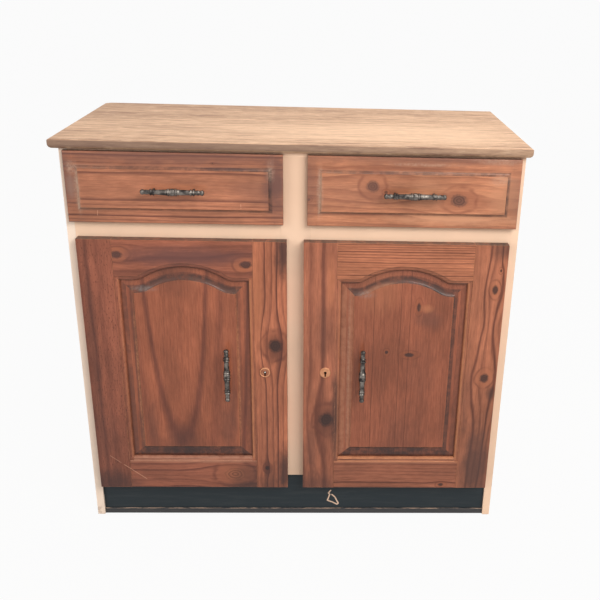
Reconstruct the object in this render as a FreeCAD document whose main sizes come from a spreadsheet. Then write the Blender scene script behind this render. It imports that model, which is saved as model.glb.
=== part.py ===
# Two-door, two-drawer kitchen base cupboard: pine fronts, cream carcass, laminate worktop.
# Millimetres. +Z is up, the fronts face -Y, and the origin is under the middle of the whole object.
import math
import os
import re

import FreeCAD
import Part

Vector = FreeCAD.Vector

# Driving dimensions
SIZES = {
    # carcass
    "carcass_width": 900.0,
    "carcass_depth": 440.0,
    "carcass_height": 840.0,
    "board": 16.0,
    "back_thickness": 4.0,
    "foot_height": 107.0,
    "stile_width": 60.0,
    "front_rail_thickness": 9.0,
    "top_rail_depth": 80.0,
    "mid_rail_height": 60.0,
    "rail_lap": 14.0,
    "plinth_recess": 6.0,
    "plinth_floor_gap": 1.0,
    "seal_height": 14.0,
    "seal_thickness": 2.0,
    # worktop
    "worktop_thickness": 18.0,
    "worktop_front_overhang": 14.0,
    "worktop_left_overhang": 16.0,
    "worktop_right_overhang": 10.0,
    "worktop_lower_radius": 9.0,
    "worktop_upper_radius": 2.5,
    "worktop_corner_radius": 20.0,
    "worktop_screw_side": 250.0,
    "worktop_screw_bite": 10.0,
    # shelves
    "shelf_rise": 262.0,
    "shelf_front_setback": 30.0,
    "shelf_back_gap": 2.0,
    "shelf_side_gap": 1.0,
    "shelf_pin_radius": 2.5,
    "shelf_pin_web": 1.0,
    "shelf_pin_reach": 9.0,
    "shelf_pin_inset": 60.0,
    # drawers
    "front_gap": 1.0,
    "drawer_front_height": 140.0,
    "drawer_front_thickness": 20.0,
    "drawer_top_gap": 3.0,
    "drawer_centre_gap": 47.0,
    "drawer_edge_inset": 9.0,
    "drawer_border_ends": 28.0,
    "drawer_border_edges": 32.0,
    "drawer_cove_width": 12.0,
    "drawer_cove_depth": 7.0,
    "drawer_edge_radius": 2.5,
    "drawer_box_height": 96.0,
    "drawer_box_length": 390.0,
    "drawer_side_gap": 6.0,
    "drawer_lift": 7.0,
    "box_board": 12.0,
    "box_bottom_thickness": 4.0,
    "box_bottom_rise": 8.0,
    "box_bottom_groove": 5.0,
    "runner_height": 12.0,
    "runner_groove": 6.0,
    "runner_slide_gap": 0.4,
    "runner_setback": 4.0,
    "runner_stop_gap": 8.0,
    "runner_screw_inset": 60.0,
    "runner_screw_web": 2.0,
    "box_screw_side": 130.0,
    "box_screw_bite": 10.0,
    # doors
    "door_thickness": 20.0,
    "door_centre_gap": 34.0,
    "door_hinge_gap": 4.0,
    "door_foot_lap": 19.0,
    "door_stile_width": 68.0,
    "door_top_rail": 77.0,
    "door_bottom_rail": 69.0,
    "arch_rise": 29.0,
    "arch_flat": 3.0,
    "arch_shoulder_part": 0.12,
    "bead_width": 9.0,
    "bead_depth": 5.0,
    "bead_quirk": 1.5,
    "panel_groove_depth": 9.0,
    "panel_groove_width": 6.0,
    "panel_play": 0.1,
    "panel_edge_gap": 1.0,
    "panel_field_inset": 36.0,
    "panel_field_sink": 2.0,
    "panel_cove_width": 15.0,
    "panel_cove_depth": 5.0,
    # hinges
    "hinge_height": 60.0,
    "hinge_inset": 75.0,
    "hinge_leaf_width": 25.0,
    "hinge_leaf_thickness": 1.5,
    "hinge_knuckle_radius": 2.0,
    "hinge_running_gap": 0.3,
    "hinge_axis_gap": 2.3,
    "hinge_axis_front": 2.2,
    "hinge_pin_radius": 1.0,
    "hinge_pin_clearance": 0.05,
    "hinge_pin_head": 1.2,
    "hinge_screw_inset": 15.0,
    "hinge_screw_spread": 20.0,
    "hinge_screw_bite": 9.0,
    # locks
    "keyhole_inset": 46.5,
    "keyhole_radius": 3.2,
    "keyhole_slot": 3.0,
    "keyhole_drop": 9.0,
    "escutcheon_radius": 12.0,
    "escutcheon_thickness": 1.6,
    "escutcheon_slope": 1.2,
    "lock_stile_gap": 1.5,
    "lock_case_width": 40.0,
    "lock_case_height": 52.0,
    "lock_case_depth": 12.0,
    "lock_well_radius": 5.0,
    "lock_post_radius": 1.2,
    "lock_bolt_height": 12.0,
    "lock_bolt_thickness": 4.4,
    "lock_bolt_length": 24.0,
    "lock_bolt_gap": 0.3,
    "lock_bolt_throw": 8.0,
    "lock_slot_gap": 1.0,
    "lock_screw_spread": 19.0,
    "lock_screw_bite": 9.0,
    # cast pulls
    "door_handle_inset": 124.5,
    "handle_spacing": 76.0,
    "handle_stand": 20.0,
    "handle_boss_radius": 7.5,
    "handle_boss_half": 8.0,
    "handle_ring_radius": 1.6,
    "handle_shaft_thick": 5.0,
    "handle_shaft_thin": 3.8,
    "handle_collar_radius": 5.8,
    "handle_collar_half": 3.5,
    "handle_tail": 11.6,
    "handle_ball_radius": 4.8,
    "handle_post_radius": 4.0,
    "handle_foot_radius": 6.5,
    "handle_foot_height": 2.0,
    # screws
    "small_screw_radius": 1.5,
    "small_screw_head_radius": 2.6,
    "small_screw_head": 1.5,
    "machine_screw_radius": 2.0,
    "machine_screw_head_radius": 4.0,
    "machine_screw_head": 2.5,
    "handle_screw_bite": 8.0,
}

# Places worked out from the driving dimensions. Distances along X count from the carcass's middle,
# along Y from the carcass's front face and along Z from the floor.
PLACES = {
    "carcass_x": "(worktop_left_overhang - worktop_right_overhang) / 2",
    "front_reach": "front_gap + drawer_front_thickness + handle_stand + handle_boss_radius",
    "face_y": "(front_reach - carcass_depth) / 2",
    "outer_x": "carcass_width / 2",
    "inner_x": "outer_x - board",
    "stile_x": "stile_width / 2",
    "partition_x": "board / 2",
    "back_y": "carcass_depth - back_thickness",
    "floor_top": "foot_height + board",
    "stile_top": "carcass_height - front_rail_thickness",
    "back_rail_low": "carcass_height - board",
    "drawer_high": "carcass_height - drawer_top_gap",
    "drawer_low": "drawer_high - drawer_front_height",
    "drawer_mid": "(drawer_high + drawer_low) / 2",
    "rail_high": "drawer_low + rail_lap",
    "rail_low": "rail_high - mid_rail_height",
    "door_high": "rail_low + rail_lap",
    "door_low": "foot_height - door_foot_lap",
    "door_mid": "(door_high + door_low) / 2",
    "drawer_outer": "outer_x - drawer_edge_inset",
    "drawer_inner": "drawer_centre_gap / 2",
    "drawer_centre": "(drawer_outer + drawer_inner) / 2",
    "drawer_face": "-front_gap - drawer_front_thickness",
    "box_outer": "inner_x - drawer_side_gap",
    "box_inner": "stile_x + drawer_side_gap",
    "box_low": "rail_high + drawer_lift",
    "box_high": "box_low + drawer_box_height",
    "box_back": "drawer_box_length - front_gap",
    "box_floor": "box_low + box_bottom_rise",
    "runner_low": "(box_low + box_high - runner_height) / 2",
    "runner_high": "runner_low + runner_height",
    "runner_mid": "(runner_low + runner_high) / 2",
    "runner_front": "board + runner_setback",
    "runner_screw_bite": "partition_x - runner_screw_web",
    "runner_tip": "drawer_side_gap + runner_groove - runner_slide_gap",
    "shelf_low": "floor_top + shelf_rise",
    "shelf_front": "board + shelf_front_setback",
    "shelf_back": "back_y - shelf_back_gap",
    "shelf_pin_z": "shelf_low - shelf_pin_radius",
    "shelf_pin_depth": "partition_x - shelf_pin_web",
    "door_outer": "inner_x - door_hinge_gap",
    "door_inner": "door_centre_gap / 2",
    "door_face": "-front_gap - door_thickness",
    "opening_outer": "door_outer - door_stile_width",
    "opening_inner": "door_inner + door_stile_width",
    "opening_centre": "(opening_outer + opening_inner) / 2",
    "opening_half": "(opening_outer - opening_inner) / 2",
    "arch_half_span": "opening_half - panel_field_inset - arch_flat",
    "shoulder": "door_high - door_top_rail",
    "sill": "door_low + door_bottom_rail",
    "panel_back": "door_face + panel_groove_depth + panel_groove_width - panel_play",
    "panel_face": "door_face + panel_field_sink",
    "hinge_x": "door_outer + hinge_axis_gap",
    "hinge_y": "-hinge_axis_front",
    "hinge_low": "door_low + hinge_inset",
    "hinge_high": "door_high - hinge_inset",
    "hinge_half": "hinge_height / 2",
    "knuckle_half": "hinge_height / 6",
    "hinge_bore": "hinge_pin_radius + hinge_pin_clearance",
    "keyhole_x": "door_inner + keyhole_inset",
    "lock_near": "stile_x + lock_stile_gap",
    "lock_far": "lock_near + lock_case_width",
    "lock_back": "lock_case_depth - front_gap",
    "lock_mid": "(lock_back - front_gap) / 2",
    "bolt_near": "lock_near",
    "bolt_far": "lock_near + lock_bolt_length",
    "slot_depth": "lock_bolt_throw + lock_slot_gap",
    "door_handle_x": "door_inner + door_handle_inset",
    "post_x": "handle_spacing / 2",
}

doc = FreeCAD.newDocument("base_cupboard")


def fill_sheet(name, cells):
    """Make a sheet with one alias to a row."""
    made = doc.addObject("Spreadsheet::Sheet", name)
    for row, (alias, text) in enumerate(cells.items(), start=1):
        made.set(f"A{row}", alias)
        made.set(f"B{row}", text)
        made.setAlias(f"B{row}", alias)
    doc.recompute()
    return made


def sized(text):
    """Point each size or place that an expression names at its cell."""
    def cell(word):
        owner = "Sizes" if word.group() in SIZES else "Places"
        return f"{owner}.{word.group()}"
    return re.sub(r"[a-z][a-z_]*", cell, text)


def own_places(text):
    """The same for a place's own formula, which names its sheet's other cells bare."""
    return re.sub(r"[a-z][a-z_]*", lambda word: f"Sizes.{word.group()}" if word.group() in SIZES
                  else word.group(), text)


sizes_sheet = fill_sheet("Sizes", {alias: str(value) for alias, value in SIZES.items()})
places_sheet = fill_sheet("Places", {alias: "=" + own_places(text) for alias, text in PLACES.items()})
nodes = {}


def mm(alias):
    """The number in a cell, for the moulded pieces."""
    owner = sizes_sheet if alias in SIZES else places_sheet
    return float(owner.get(alias))


# Helpers for boards, rods and their joining

TURNS = {
    "x": FreeCAD.Rotation(Vector(0, 1, 0), 90),
    "y": FreeCAD.Rotation(Vector(1, 0, 0), -90),
    "z": FreeCAD.Rotation(),
}
AXES = ("x", "y", "z")
BOTH = (-1, 1)
SIDE_NAMES = {-1: "left", 1: "right"}
ORIGIN = {"x": "carcass_x + ", "y": "face_y + ", "z": ""}


def place(made, base):
    """Bind an object's position to expressions counted from the carcass's middle, face and foot."""
    for axis, text in zip(AXES, base):
        made.setExpression(f"Placement.Base.{axis}", sized(f"{ORIGIN[axis]}({text})"))


def board(name, *limits):
    """A rectangular board between a low and a high limit along X, Y and Z."""
    made = doc.addObject("Part::Box", name)
    place(made, [low for low, high in limits])
    for size, (low, high) in zip(("Length", "Width", "Height"), limits):
        made.setExpression(size, sized(f"({high}) - ({low})"))
    return made


def rod(name, along, radius, *position):
    """A round rod along one axis; its position there is a low and a high limit."""
    made = doc.addObject("Part::Cylinder", name)
    made.Placement = FreeCAD.Placement(Vector(), TURNS[along])
    low, high = position[AXES.index(along)]
    place(made, [low if axis == along else text for axis, text in zip(AXES, position)])
    made.setExpression("Radius", sized(radius))
    made.setExpression("Height", sized(f"({high}) - ({low})"))
    return made


def fuse(name, *pieces):
    """One solid from pieces that run into each other."""
    made = doc.addObject("Part::MultiFuse", name)
    made.Shapes = list(pieces)
    made.Refine = True
    return made


def group(name, pieces):
    """Separate solids that share one node."""
    made = doc.addObject("Part::Compound", name)
    made.Links = list(pieces)
    return made


def cut(name, base, *tools):
    """A piece with each tool taken out of it in turn."""
    made = base
    for number, tool in enumerate(tools, start=1):
        blank = made
        made = doc.addObject("Part::Cut", f"{name}_cut{number}")
        made.Base = blank
        made.Tool = tool
    return made


def moulded(name, shape):
    """A moulded shape, drawn from the carcass's middle, face and foot."""
    made = doc.addObject("Part::Feature", name)
    made.Shape = shape
    place(made, ("0", "0", "0"))
    return made


def keep(name, piece):
    """Name a finished sub-part."""
    piece.Label = name
    nodes[name] = piece
    return piece


def span(side, near, far):
    """Limits along X of a piece between two distances from the middle, on one side."""
    if side > 0:
        return near, far
    return f"-({far})", f"-({near})"


def at(side, distance):
    """A place along X on one side."""
    return distance if side > 0 else f"-({distance})"


def screw(name, along, inward, kind, head_at, reach, *position):
    """A screw whose head sits at head_at; its shank runs on by reach in the inward direction."""
    thick = f"{kind}_screw_head"
    ends = {}
    if inward > 0:
        ends["head"] = (f"({head_at}) - {thick}", head_at)
        ends["shank"] = (head_at, f"({head_at}) + ({reach})")
    else:
        ends["head"] = (head_at, f"({head_at}) + {thick}")
        ends["shank"] = (f"({head_at}) - ({reach})", head_at)
    index = AXES.index(along)
    pieces = []
    for part, radius in (("head", f"{kind}_screw_head_radius"), ("shank", f"{kind}_screw_radius")):
        spot = list(position)
        spot.insert(index, ends[part])
        pieces.append(rod(f"{name}_{part}", along, radius, *spot))
    return fuse(name, *pieces)


# Outlines of the moulded fronts, each inset evenly from its edge

def arched_outline(centre, inset, y):
    """The door's opening: straight sides and sill, level shoulders and a crown drawn by tangent arcs."""
    half = mm("opening_half") - inset
    low = mm("sill") + inset
    level = mm("shoulder") - inset
    run = mm("arch_half_span")
    rise = mm("arch_rise")
    turn = 2 * math.atan2(rise, run)
    both_radii = run / math.sin(turn)
    shoulder_radius = both_radii * mm("arch_shoulder_part") + inset
    crown_radius = both_radii - shoulder_radius
    top = level + rise

    def point(x, z):
        return Vector(centre + x, y, z)

    def on_shoulder(angle):
        return (run - shoulder_radius * math.sin(angle),
                level + shoulder_radius * (1 - math.cos(angle)))

    def on_crown(angle):
        return crown_radius * math.sin(angle), top - crown_radius * (1 - math.cos(angle))

    mid_x, mid_z = on_shoulder(turn / 2)
    join_x, join_z = on_shoulder(turn)
    edges = [Part.LineSegment(point(-half, low), point(half, low)),
             Part.LineSegment(point(half, low), point(half, level)),
             Part.LineSegment(point(half, level), point(run, level)),
             Part.Arc(point(run, level), point(mid_x, mid_z), point(join_x, join_z)),
             Part.Arc(point(join_x, join_z), point(*on_crown(0)), point(-join_x, join_z)),
             Part.Arc(point(-join_x, join_z), point(-mid_x, mid_z), point(-run, level)),
             Part.LineSegment(point(-run, level), point(-half, level)),
             Part.LineSegment(point(-half, level), point(-half, low))]
    return Part.Wire([edge.toShape() for edge in edges])


def stacked(outlines):
    """A solid through a stack of outlines with the same number of edges."""
    return Part.makeLoft(outlines, True, True)


# Carcass

def make_worktop(screws):
    """A laminate top with rounded front and end edges and one rounded rear corner."""
    low_x = -mm("outer_x") - mm("worktop_left_overhang")
    high_x = mm("outer_x") + mm("worktop_right_overhang")
    low_y = -mm("worktop_front_overhang")
    high_y = mm("carcass_depth")
    low_z = mm("carcass_height")
    high_z = low_z + mm("worktop_thickness")
    under = mm("worktop_lower_radius")
    over = mm("worktop_upper_radius")
    corner = mm("worktop_corner_radius")
    bend = math.sqrt(0.5)

    def edge_profile(outward, end):
        """The rounded edge from the underside to the top, as points (across, up)."""
        inner = end - outward * under
        rim = end - outward * over
        return [(inner, low_z), (inner + outward * under * bend, low_z + under * (1 - bend)),
                (end, low_z + under), (end, high_z - over),
                (rim + outward * over * bend, high_z - over * (1 - bend)), (rim, high_z)]

    def rounded(points, across):
        """Edges along a rounded edge profile."""
        spots = [across(*point) for point in points]
        return [Part.Arc(*spots[:3]).toShape(), Part.LineSegment(spots[2], spots[3]).toShape(),
                Part.Arc(*spots[3:]).toShape()]

    def prism(edges, sweep):
        return Part.Face(Part.Wire(Part.sortEdges(edges)[0])).extrude(sweep)

    def line(start, end):
        return Part.LineSegment(start, end).toShape()

    ends = [edge_profile(1, high_x), edge_profile(-1, low_x)]

    def from_front(x, z):
        return Vector(x, low_y, z)

    long_prism = prism(rounded(ends[0], from_front) + rounded(ends[1], from_front)
                       + [line(from_front(*ends[1][0]), from_front(*ends[0][0])),
                          line(from_front(*ends[1][-1]), from_front(*ends[0][-1]))],
                       Vector(0, high_y - low_y, 0))
    nose = edge_profile(-1, low_y)

    def from_end(y, z):
        return Vector(low_x, y, z)

    cross_prism = prism(rounded(nose, from_end)
                        + [line(from_end(*nose[0]), from_end(high_y, low_z)),
                           line(from_end(high_y, low_z), from_end(high_y, high_z)),
                           line(from_end(high_y, high_z), from_end(*nose[-1]))],
                       Vector(high_x - low_x, 0, 0))
    turn_x = low_x + corner
    turn_y = high_y - corner
    plan = [Vector(low_x, low_y, low_z), Vector(high_x, low_y, low_z), Vector(high_x, high_y, low_z),
            Vector(turn_x, high_y, low_z), Vector(low_x, turn_y, low_z)]
    bow = Vector(turn_x - corner * bend, turn_y + corner * bend, low_z)
    plan_edges = [line(plan[number], plan[number + 1]) for number in range(3)]
    plan_edges += [Part.Arc(plan[3], bow, plan[4]).toShape(), line(plan[4], plan[0])]
    plan_prism = prism(plan_edges, Vector(0, 0, high_z - low_z))
    blank = moulded("worktop_blank", long_prism.common(cross_prism).common(plan_prism))
    keep("worktop", cut("worktop", blank, screws))


def make_carcass():
    """Boards of the carcass, with the holes that their fasteners fill."""
    worktop_screws = []
    for side in BOTH:
        word = SIDE_NAMES[side]
        for rail, head, thick, y in (
                ("front", "stile_top", "front_rail_thickness", "top_rail_depth / 2"),
                ("back", "back_rail_low", "board", "back_y - top_rail_depth / 2")):
            worktop_screws.append(screw(f"{rail}_{word}_worktop_screw", "z", 1, "machine", head,
                                        f"{thick} + worktop_screw_bite", at(side, "worktop_screw_side"), y))
    worktop_screws = keep("worktop_screws", group("worktop_screws", worktop_screws))
    make_worktop(worktop_screws)

    between = ("-inner_x", "inner_x")
    front_rail = board("front_rail_blank", between, ("0", "top_rail_depth"), ("stile_top", "carcass_height"))
    keep("top_front_rail", cut("top_front_rail", front_rail, worktop_screws))
    back_rail = board("back_rail_blank", between, ("back_y - top_rail_depth", "back_y"),
                      ("back_rail_low", "carcass_height"))
    keep("top_back_rail", cut("top_back_rail", back_rail, worktop_screws))
    keep("bottom_panel", board("bottom_panel", between, ("0", "back_y"), ("foot_height", "floor_top")))
    keep("back_panel", board("back_panel", ("-outer_x", "outer_x"), ("back_y", "carcass_depth"),
                             ("foot_height", "carcass_height")))
    keep("plinth_board", board("plinth_board", between, ("plinth_recess", "plinth_recess + board"),
                               ("plinth_floor_gap", "foot_height")))
    keep("plinth_seal_strip", board("plinth_seal_strip", between,
                                    ("plinth_recess - seal_thickness", "plinth_recess"),
                                    ("0", "seal_height")))

    pins = []
    for side in BOTH:
        word = SIDE_NAMES[side]
        keep(f"{word}_mid_rail", board(f"{word}_mid_rail", span(side, "stile_x", "inner_x"), ("0", "board"),
                                       ("rail_low", "rail_high")))
        keep(f"{word}_shelf", board(f"{word}_shelf",
                                    span(side, "partition_x + shelf_side_gap", "inner_x - shelf_side_gap"),
                                    ("shelf_front", "shelf_back"), ("shelf_low", "shelf_low + board")))
        for row, y in (("front", "shelf_front + shelf_pin_inset"), ("back", "shelf_back - shelf_pin_inset")):
            for wall, near, far in (
                    ("outer", "inner_x - shelf_pin_reach", "inner_x + shelf_pin_depth"),
                    ("inner", "partition_x - shelf_pin_depth", "partition_x + shelf_pin_reach")):
                pins.append(rod(f"{word}_{row}_{wall}_pin", "x", "shelf_pin_radius", span(side, near, far), y,
                                "shelf_pin_z"))
    return keep("shelf_pins", group("shelf_pins", pins))


def make_runners():
    """Wooden runners on the side panels and on the partition, with their screws."""
    runners = []
    screws = []
    for side in BOTH:
        for wall, near, far, head, inward, width in (
                ("outer", "inner_x - runner_tip", "inner_x", "inner_x - runner_tip + small_screw_head", 1,
                 "runner_tip"),
                ("inner", "partition_x", "stile_x + runner_tip",
                 "stile_x + runner_tip - small_screw_head", -1,
                 "stile_x - partition_x + runner_tip")):
            name = f"{SIDE_NAMES[side]}_{wall}_runner"
            blank = board(f"{name}_blank", span(side, near, far), ("runner_front", "back_y"),
                          ("runner_low", "runner_high"))
            reach = f"{width} - small_screw_head + runner_screw_bite"
            own = [screw(f"{name}_{end}_screw", "x", inward * side, "small", at(side, head), reach, y,
                         "runner_mid")
                   for end, y in (("front", "runner_front + runner_screw_inset"),
                                  ("back", "back_y - runner_screw_inset"))]
            runners.append(cut(name, blank, group(f"{name}_screws", own)))
            screws += own
    keep("drawer_runners", group("drawer_runners", runners))
    return keep("runner_screws", group("runner_screws", screws))


def knuckle(name, side, height, low, high, radius):
    """A tube, or a bore, of a hinge between two heights about the hinge's middle."""
    return rod(name, "z", radius, at(side, "hinge_x"), "hinge_y",
               (f"{height} + ({low})", f"{height} + ({high})"))


def make_hinge(side, height):
    """One butt hinge: frame leaf, door leaf, pin and the screws of both leaves."""
    name = f"{SIDE_NAMES[side]}_{height}"
    top = "hinge_half"
    clear = "hinge_knuckle_radius + hinge_running_gap"
    tall = (f"{height} - {top}", f"{height} + {top}")
    bore = knuckle(f"{name}_bore", side, height, f"-{top}", top, "hinge_bore")
    frame_screws = []
    door_screws = []
    for word, offset in (("lower", "-hinge_screw_spread"), ("upper", "+hinge_screw_spread")):
        z = f"{height} {offset}"
        frame_screws.append(screw(f"{name}_frame_{word}_screw", "x", side, "small",
                                  at(side, "inner_x - hinge_leaf_thickness + small_screw_head"),
                                  "hinge_screw_bite", "hinge_screw_inset", z))
        door_screws.append(screw(f"{name}_door_{word}_screw", "y", -1, "small",
                                 "-front_gap - small_screw_head", "hinge_screw_bite",
                                 at(side, "door_outer - hinge_screw_inset"), z))

    plate = board(f"{name}_frame_plate", span(side, "inner_x - hinge_leaf_thickness", "inner_x"),
                  ("hinge_y", "hinge_leaf_width"), tall)
    plate = cut(f"{name}_frame_plate", plate,
                knuckle(f"{name}_frame_relief", side, height, "-knuckle_half - hinge_running_gap",
                        "knuckle_half + hinge_running_gap", clear))
    frame_leaf = fuse(f"{name}_frame_leaf", plate,
                      knuckle(f"{name}_foot_knuckle", side, height, f"-{top}",
                              "-knuckle_half - hinge_running_gap", "hinge_knuckle_radius"),
                      knuckle(f"{name}_head_knuckle", side, height, "knuckle_half + hinge_running_gap", top,
                              "hinge_knuckle_radius"))
    frame_leaf = cut(f"{name}_frame_leaf", frame_leaf, bore, group(f"{name}_frame_screw_pair", frame_screws))

    leaf = board(f"{name}_door_plate", span(side, "door_outer - hinge_leaf_width", "hinge_x"),
                 ("-front_gap - hinge_leaf_thickness", "-front_gap"), tall)
    leaf = cut(f"{name}_door_plate", leaf,
               knuckle(f"{name}_foot_relief", side, height, f"-{top}", "-knuckle_half", clear),
               knuckle(f"{name}_head_relief", side, height, "knuckle_half", top, clear))
    door_leaf = fuse(f"{name}_door_leaf", leaf,
                     knuckle(f"{name}_door_knuckle", side, height, "-knuckle_half", "knuckle_half",
                             "hinge_knuckle_radius"))
    door_leaf = cut(f"{name}_door_leaf", door_leaf, bore, group(f"{name}_door_screw_pair", door_screws))

    pin = fuse(f"{name}_pin",
               knuckle(f"{name}_pin_shank", side, height, f"-{top}", top, "hinge_pin_radius"),
               knuckle(f"{name}_pin_head", side, height, top, f"{top} + hinge_pin_head",
                       "hinge_knuckle_radius"))
    mortise = board(f"{name}_mortise", span(side, "door_outer - hinge_leaf_width", "door_outer"),
                    ("-front_gap - hinge_leaf_thickness", "-front_gap"), tall)
    return {"frame_leaf": frame_leaf, "door_leaf": door_leaf, "pin": pin, "mortise": mortise,
            "frame_screws": frame_screws, "door_screws": door_screws}


# Cast pulls

def turned_bar(along):
    """A lathe-turned bar about its own middle: boss, two rings, two shafts, two collars and ball ends."""
    boss = mm("handle_boss_half")
    ring = mm("handle_ring_radius")
    thick = mm("handle_shaft_thick")
    thin = mm("handle_shaft_thin")
    post = mm("post_x")
    collar = mm("handle_collar_half")
    ball = mm("handle_ball_radius")
    neck = post + collar + mm("handle_tail")
    tip = neck + math.sqrt(ball * ball - thin * thin) + ball
    half = [("arc", (boss + ring, thick + ring), (boss + 2 * ring, thick)),
            ("line", (post - collar, thin)),
            ("arc", (post, mm("handle_collar_radius")), (post + collar, thin)),
            ("line", (neck, thin)),
            ("arc", (tip - ball, ball), (tip, 0))]

    def spot(reach, radius):
        return along * reach - Vector(0, radius, 0)

    edges = [Part.Arc(spot(-boss, thick), spot(0, mm("handle_boss_radius")), spot(boss, thick)).toShape()]
    for end in BOTH:
        last = (boss, thick)
        for kind, *points in half:
            run = [spot(end * reach, radius) for reach, radius in [last] + points]
            edge = Part.Arc(*run) if kind == "arc" else Part.LineSegment(*run)
            edges.append(edge.toShape())
            last = points[-1]
    edges.append(Part.LineSegment(spot(-tip, 0), spot(tip, 0)).toShape())
    profile = Part.Face(Part.Wire(Part.sortEdges(edges)[0]))
    return profile.revolve(Vector(), along, 360)


def make_handle(name, long_axis, x, z, wall, screws):
    """A turned pull along X or Z on two posts, standing off the wall at a Y place."""
    index = AXES.index(long_axis)
    bar = doc.addObject("Part::Feature", f"{name}_bar")
    bar.Shape = turned_bar(Vector(1, 0, 0) if long_axis == "x" else Vector(0, 0, 1))
    place(bar, (x, f"({wall}) - handle_stand", z))
    pieces = [bar]
    for end in BOTH:
        for part, radius, reach in (("post", "handle_post_radius", "handle_stand"),
                                    ("foot", "handle_foot_radius", "handle_foot_height")):
            position = [x, (f"({wall}) - {reach}", wall), z]
            position[index] = f"({position[index]}) + {end} * post_x"
            pieces.append(rod(f"{name}_{SIDE_NAMES[end]}_{part}", "y", radius, *position))
    keep(name, cut(name, fuse(f"{name}_blank", *pieces), screws))


def handle_screws(name, long_axis, x, z, wall, head_at):
    """Two machine screws that come through from behind into a pull's posts."""
    made = []
    for end in (-1, 1):
        spot = [x, z]
        index = 0 if long_axis == "x" else 1
        spot[index] = f"({spot[index]}) + {end} * post_x"
        made.append(screw(f"{name}_{'low' if end < 0 else 'high'}", "y", -1, "machine", head_at,
                          f"({head_at}) - ({wall}) + handle_screw_bite", *spot))
    return made


# Doors

def make_door(side, hinges):
    """A stile-and-rail door with an arched raised panel, its pull, lock and hinge leaves."""
    word = SIDE_NAMES[side]
    centre = side * mm("opening_centre")
    face = mm("door_face")
    back = face + mm("door_thickness")
    bead = mm("bead_width")
    quirk = mm("bead_quirk")
    bead_steps = [math.radians(angle) for angle in (0, 30, 60, 90)]
    flare = [arched_outline(centre, 0, face - quirk)]
    flare += [arched_outline(centre, bead * math.sin(angle),
                             face + quirk + mm("bead_depth") * (1 - math.cos(angle))) for angle in bead_steps]
    flare.append(arched_outline(centre, bead, back + quirk))
    opening = moulded(f"{word}_door_opening", stacked(flare))
    groove_front = face + mm("panel_groove_depth")
    groove_back = groove_front + mm("panel_groove_width")
    groove = moulded(f"{word}_door_groove", stacked([arched_outline(centre, 0, groove_front),
                                                     arched_outline(centre, 0, groove_back)]))

    thick = ("door_face", "-front_gap")
    tall = ("door_low", "door_high")
    bead_run = ("sill", "shoulder")
    keyhole = fuse(f"{word}_keyhole",
                   rod(f"{word}_keyhole_round", "y", "keyhole_radius", at(side, "keyhole_x"),
                       ("door_face - 2 * escutcheon_thickness", "-front_gap"), "door_mid"),
                   board(f"{word}_keyhole_slot",
                         span(side, "keyhole_x - keyhole_slot / 2", "keyhole_x + keyhole_slot / 2"),
                         ("door_face - 2 * escutcheon_thickness", "-front_gap"),
                         ("door_mid - keyhole_drop", "door_mid")))
    lock = make_lock(side, keyhole)
    panel_screws = handle_screws(f"{word}_door_handle_screw", "z", at(side, "door_handle_x"), "door_mid",
                                 "panel_face", "panel_back")
    hinge_screws = [one for hinge in hinges for one in hinge["door_screws"]]

    blank = fuse(f"{word}_hinge_stile_blank",
                 board(f"{word}_hinge_stile_flat", span(side, "opening_outer", "door_outer"), thick, tall),
                 board(f"{word}_hinge_stile_bead", span(side, "opening_outer - bead_width", "opening_outer"),
                       thick, bead_run))
    keep(f"{word}_hinge_stile", cut(f"{word}_hinge_stile", blank, opening, groove,
                                    *[hinge["mortise"] for hinge in hinges],
                                    group(f"{word}_hinge_screw_set", hinge_screws)))
    blank = fuse(f"{word}_lock_stile_blank",
                 board(f"{word}_lock_stile_flat", span(side, "door_inner", "opening_inner"), thick, tall),
                 board(f"{word}_lock_stile_bead", span(side, "opening_inner", "opening_inner + bead_width"),
                       thick, bead_run))
    keep(f"{word}_lock_stile", cut(f"{word}_lock_stile", blank, opening, groove, keyhole,
                                   lock["screw_group"]))
    across = span(side, "opening_inner", "opening_outer")
    within = span(side, "opening_inner + bead_width", "opening_outer - bead_width")
    blank = fuse(f"{word}_top_rail_blank",
                 board(f"{word}_top_rail_flat", across, thick, ("shoulder", "door_high")),
                 board(f"{word}_top_rail_bead", within, thick, ("shoulder - bead_width", "shoulder")))
    keep(f"{word}_top_rail", cut(f"{word}_top_rail", blank, opening, groove))
    blank = fuse(f"{word}_bottom_rail_blank",
                 board(f"{word}_bottom_rail_flat", across, thick, ("door_low", "sill")),
                 board(f"{word}_bottom_rail_bead", within, thick, ("sill", "sill + bead_width")))
    keep(f"{word}_bottom_rail", cut(f"{word}_bottom_rail", blank, opening, groove))

    play = mm("panel_play")
    edge = mm("panel_edge_gap")
    field = mm("panel_field_inset")
    cove_steps = [math.radians(angle) for angle in (90, 65, 40, 20, 0)]
    layers = [arched_outline(centre, edge, groove_back - play),
              arched_outline(centre, edge, groove_front + play),
              arched_outline(centre, bead + edge, groove_front + play)]
    layers += [arched_outline(centre, field - mm("panel_cove_width") * (1 - math.cos(angle)),
                              mm("panel_face") + mm("panel_cove_depth") * math.sin(angle))
               for angle in cove_steps]
    keep(f"{word}_door_panel", cut(f"{word}_door_panel", moulded(f"{word}_door_panel_blank", stacked(layers)),
                                   group(f"{word}_panel_screws", panel_screws)))
    make_handle(f"{word}_door_handle", "z", at(side, "door_handle_x"), "door_mid", "panel_face",
                group(f"{word}_door_handle_screws", panel_screws))
    keep(f"{word}_hinge_leaves", group(f"{word}_hinge_leaves", [hinge["door_leaf"] for hinge in hinges]))
    keep(f"{word}_door_screws", group(f"{word}_door_screws", hinge_screws + panel_screws + lock["screws"]))


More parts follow.
